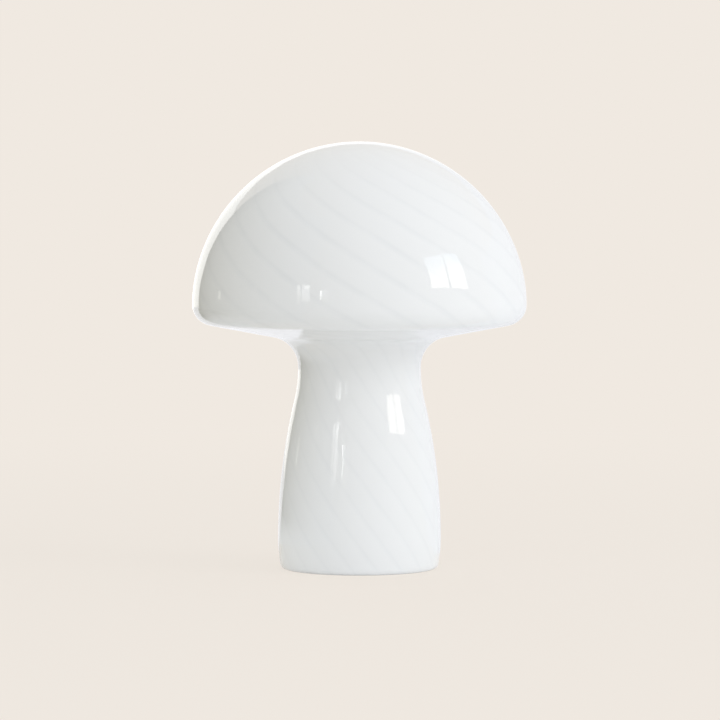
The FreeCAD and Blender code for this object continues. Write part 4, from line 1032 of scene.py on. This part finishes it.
def filament_rods(circle):
    """Rods on a circle: a quarter ellipse at each end of a straight side."""
    foot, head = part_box("filaments")
    radius = head.x - circle
    quarter = np.linspace(0, math.pi / 2, 6)[1:]
    tip, narrow = ROD_TIP * (1 - np.cos(quarter)), radius * np.sin(quarter)
    side = np.linspace(foot.z + ROD_TIP, head.z - ROD_TIP, 14)[1:-1]
    height = np.concatenate([foot.z + tip, side, head.z - tip[::-1]])[:, None]
    size = np.concatenate([narrow, np.full(len(side), radius), narrow[::-1]])[:, None]
    rods = []
    for turn in ring_angles(4):
        centre = np.array([circle * math.cos(turn), circle * math.sin(turn), 0.0])
        grid = swept(size, ring_angles(ROD_COLUMNS)[None, :], height) + centre
        rods.append(shell(grid, poles=(centre + [0, 0, foot.z], centre + [0, 0, head.z])))
    build("filament_rods", rods, "bulb", "phosphor", ["filaments"])


# ---------------------------------------------------------------- operators


class LAMP_OT_stage(bpy.types.Operator):
    """Camera, floor, windows, dark side and world."""

    bl_idname = "lamp.stage"
    bl_label = "Studio"

    def execute(self, context):
        scene = context.scene
        scene.view_settings.view_transform = "Standard"
        data = bpy.data.cameras.new("camera")
        data.sensor_fit, data.sensor_width, data.lens = "HORIZONTAL", PICTURE_WIDTH, LENS
        camera = bpy.data.objects.new("camera", data)
        camera.location = EYE
        camera.rotation_euler = (math.radians(90 - LOOK_DOWN), 0.0, 0.0)
        scene.collection.objects.link(camera)
        scene.camera = camera
        reach = np.linspace(-FLOOR_HALF, FLOOR_HALF, FLOOR_COLUMNS)
        across, along = np.meshgrid(reach, reach)
        stage_piece("floor", np.stack([across, along, 0 * across], -1), floor_finish())
        light_world()
        for row in WINDOWS:
            window(*row)
        for name, radius, sill, top, *glow in SHEENS:
            rows = [(*edge[:2], radius, *edge[2:]) for edge in (sill, top)]
            card(name, rows, {"glossy"}, paint_up, *glow)
        card("white_wall", WALL, {"glossy"}, paint_across, *WALL_GLOW)
        card("white_table", TABLE, {"glossy"}, paint_across, *TABLE_GLOW)
        rows = [(*DARK_SIDE, DARK_RADIUS, z, z) for z in np.linspace(0, DARK_HEIGHT, DARK_ROWS)]
        card("dark_side", rows, {"diffuse", "glossy"}, paint_dark)
        rows = [(*DARK_SIDE, radius, SKIN, SKIN) for radius in (DARK_TABLE, DARK_RADIUS)]
        card("dark_table", rows, {"glossy"}, paint_dark_table)
        return {"FINISHED"}


class LAMP_OT_glass(bpy.types.Operator):
    """Blown opal glass, cap and stem in one."""

    bl_idname = "lamp.glass"
    bl_label = "Opal glass"

    def execute(self, context):
        glass = context.scene.lamp_glass
        grid, chart = glass_grid(glass)
        tops = (0.0, 0.0, glass.lamp_height), (0.0, 0.0, glass.lamp_height - glass.wall)
        part = shell(grid, poles=tops, along=chart, wrap=-float(STREAKS))
        build("glass_shell", [part], "glass", "opal_glass", ["glass_body"])
        return {"FINISHED"}


class LAMP_OT_threads(bpy.types.Operator):
    """Threaded tube, threaded shell of the lampholder and screw cap of the bulb."""

    bl_idname = "lamp.threads"
    bl_label = "Threads"

    def execute(self, context):
        fittings = context.scene.lamp_fittings
        tube_thread(fittings)
        shell_thread(fittings)
        cap_thread(fittings)
        return {"FINISHED"}


class LAMP_OT_skirt(bpy.types.Operator):
    """Lampholder's skirt with its grooved collar."""

    bl_idname = "lamp.skirt"
    bl_label = "Lampholder skirt"

    def execute(self, context):
        skirt_grip(context.scene.lamp_fittings)
        return {"FINISHED"}


class LAMP_OT_bulb(bpy.types.Operator):
    """Wires and filaments inside the bulb."""

    bl_idname = "lamp.bulb"
    bl_label = "Bulb's wires and filaments"

    def execute(self, context):
        thick = context.scene.lamp_fittings.wire_radius
        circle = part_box("lead_wires")[1].x - thick
        bulb_wires(thick, circle)
        filament_rods(circle)
        return {"FINISHED"}


class LAMP_OT_finishes(bpy.types.Operator):
    """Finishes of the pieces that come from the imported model."""

    bl_idname = "lamp.finishes"
    bl_label = "Finishes"

    def execute(self, context):
        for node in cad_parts.values():
            for place in node.material_slots:
                slot = place.material.name.split(".")[0]
                if slot in FINISHES or slot == "opal_glass":
                    place.material = finish(slot)
        return {"FINISHED"}


OPERATORS = (LAMP_OT_stage, LAMP_OT_glass, LAMP_OT_threads, LAMP_OT_skirt, LAMP_OT_bulb,
             LAMP_OT_finishes)


class LAMP_PT_sidebar(bpy.types.Panel):
    """Sizes, colours and the build steps."""

    bl_idname = "LAMP_PT_sidebar"
    bl_label = "Mushroom lamp"
    bl_space_type = "VIEW_3D"
    bl_region_type = "UI"
    bl_category = "Lamp"

    def draw(self, context):
        for name, group in PROPERTY_GROUPS.items():
            box = self.layout.box()
            for key in group.__annotations__:
                box.prop(getattr(context.scene, name), key)
        for kind in OPERATORS:
            self.layout.operator(kind.bl_idname)


def register():
    for kind in (*PROPERTY_GROUPS.values(), *OPERATORS, LAMP_PT_sidebar):
        bpy.utils.register_class(kind)
    for name, group in PROPERTY_GROUPS.items():
        setattr(bpy.types.Scene, name, bpy.props.PointerProperty(type=group))


def unregister():
    for name in PROPERTY_GROUPS:
        delattr(bpy.types.Scene, name)
    for kind in (LAMP_PT_sidebar, *reversed(OPERATORS), *reversed(PROPERTY_GROUPS.values())):
        bpy.utils.unregister_class(kind)


def main():
    register()
    for kind in OPERATORS:
        group, name = kind.bl_idname.split(".")
        if getattr(getattr(bpy.ops, group), name)() != {"FINISHED"}:
            raise RuntimeError(f"{kind.bl_label} wasn't finished")


if __name__ == "__main__":
    main()
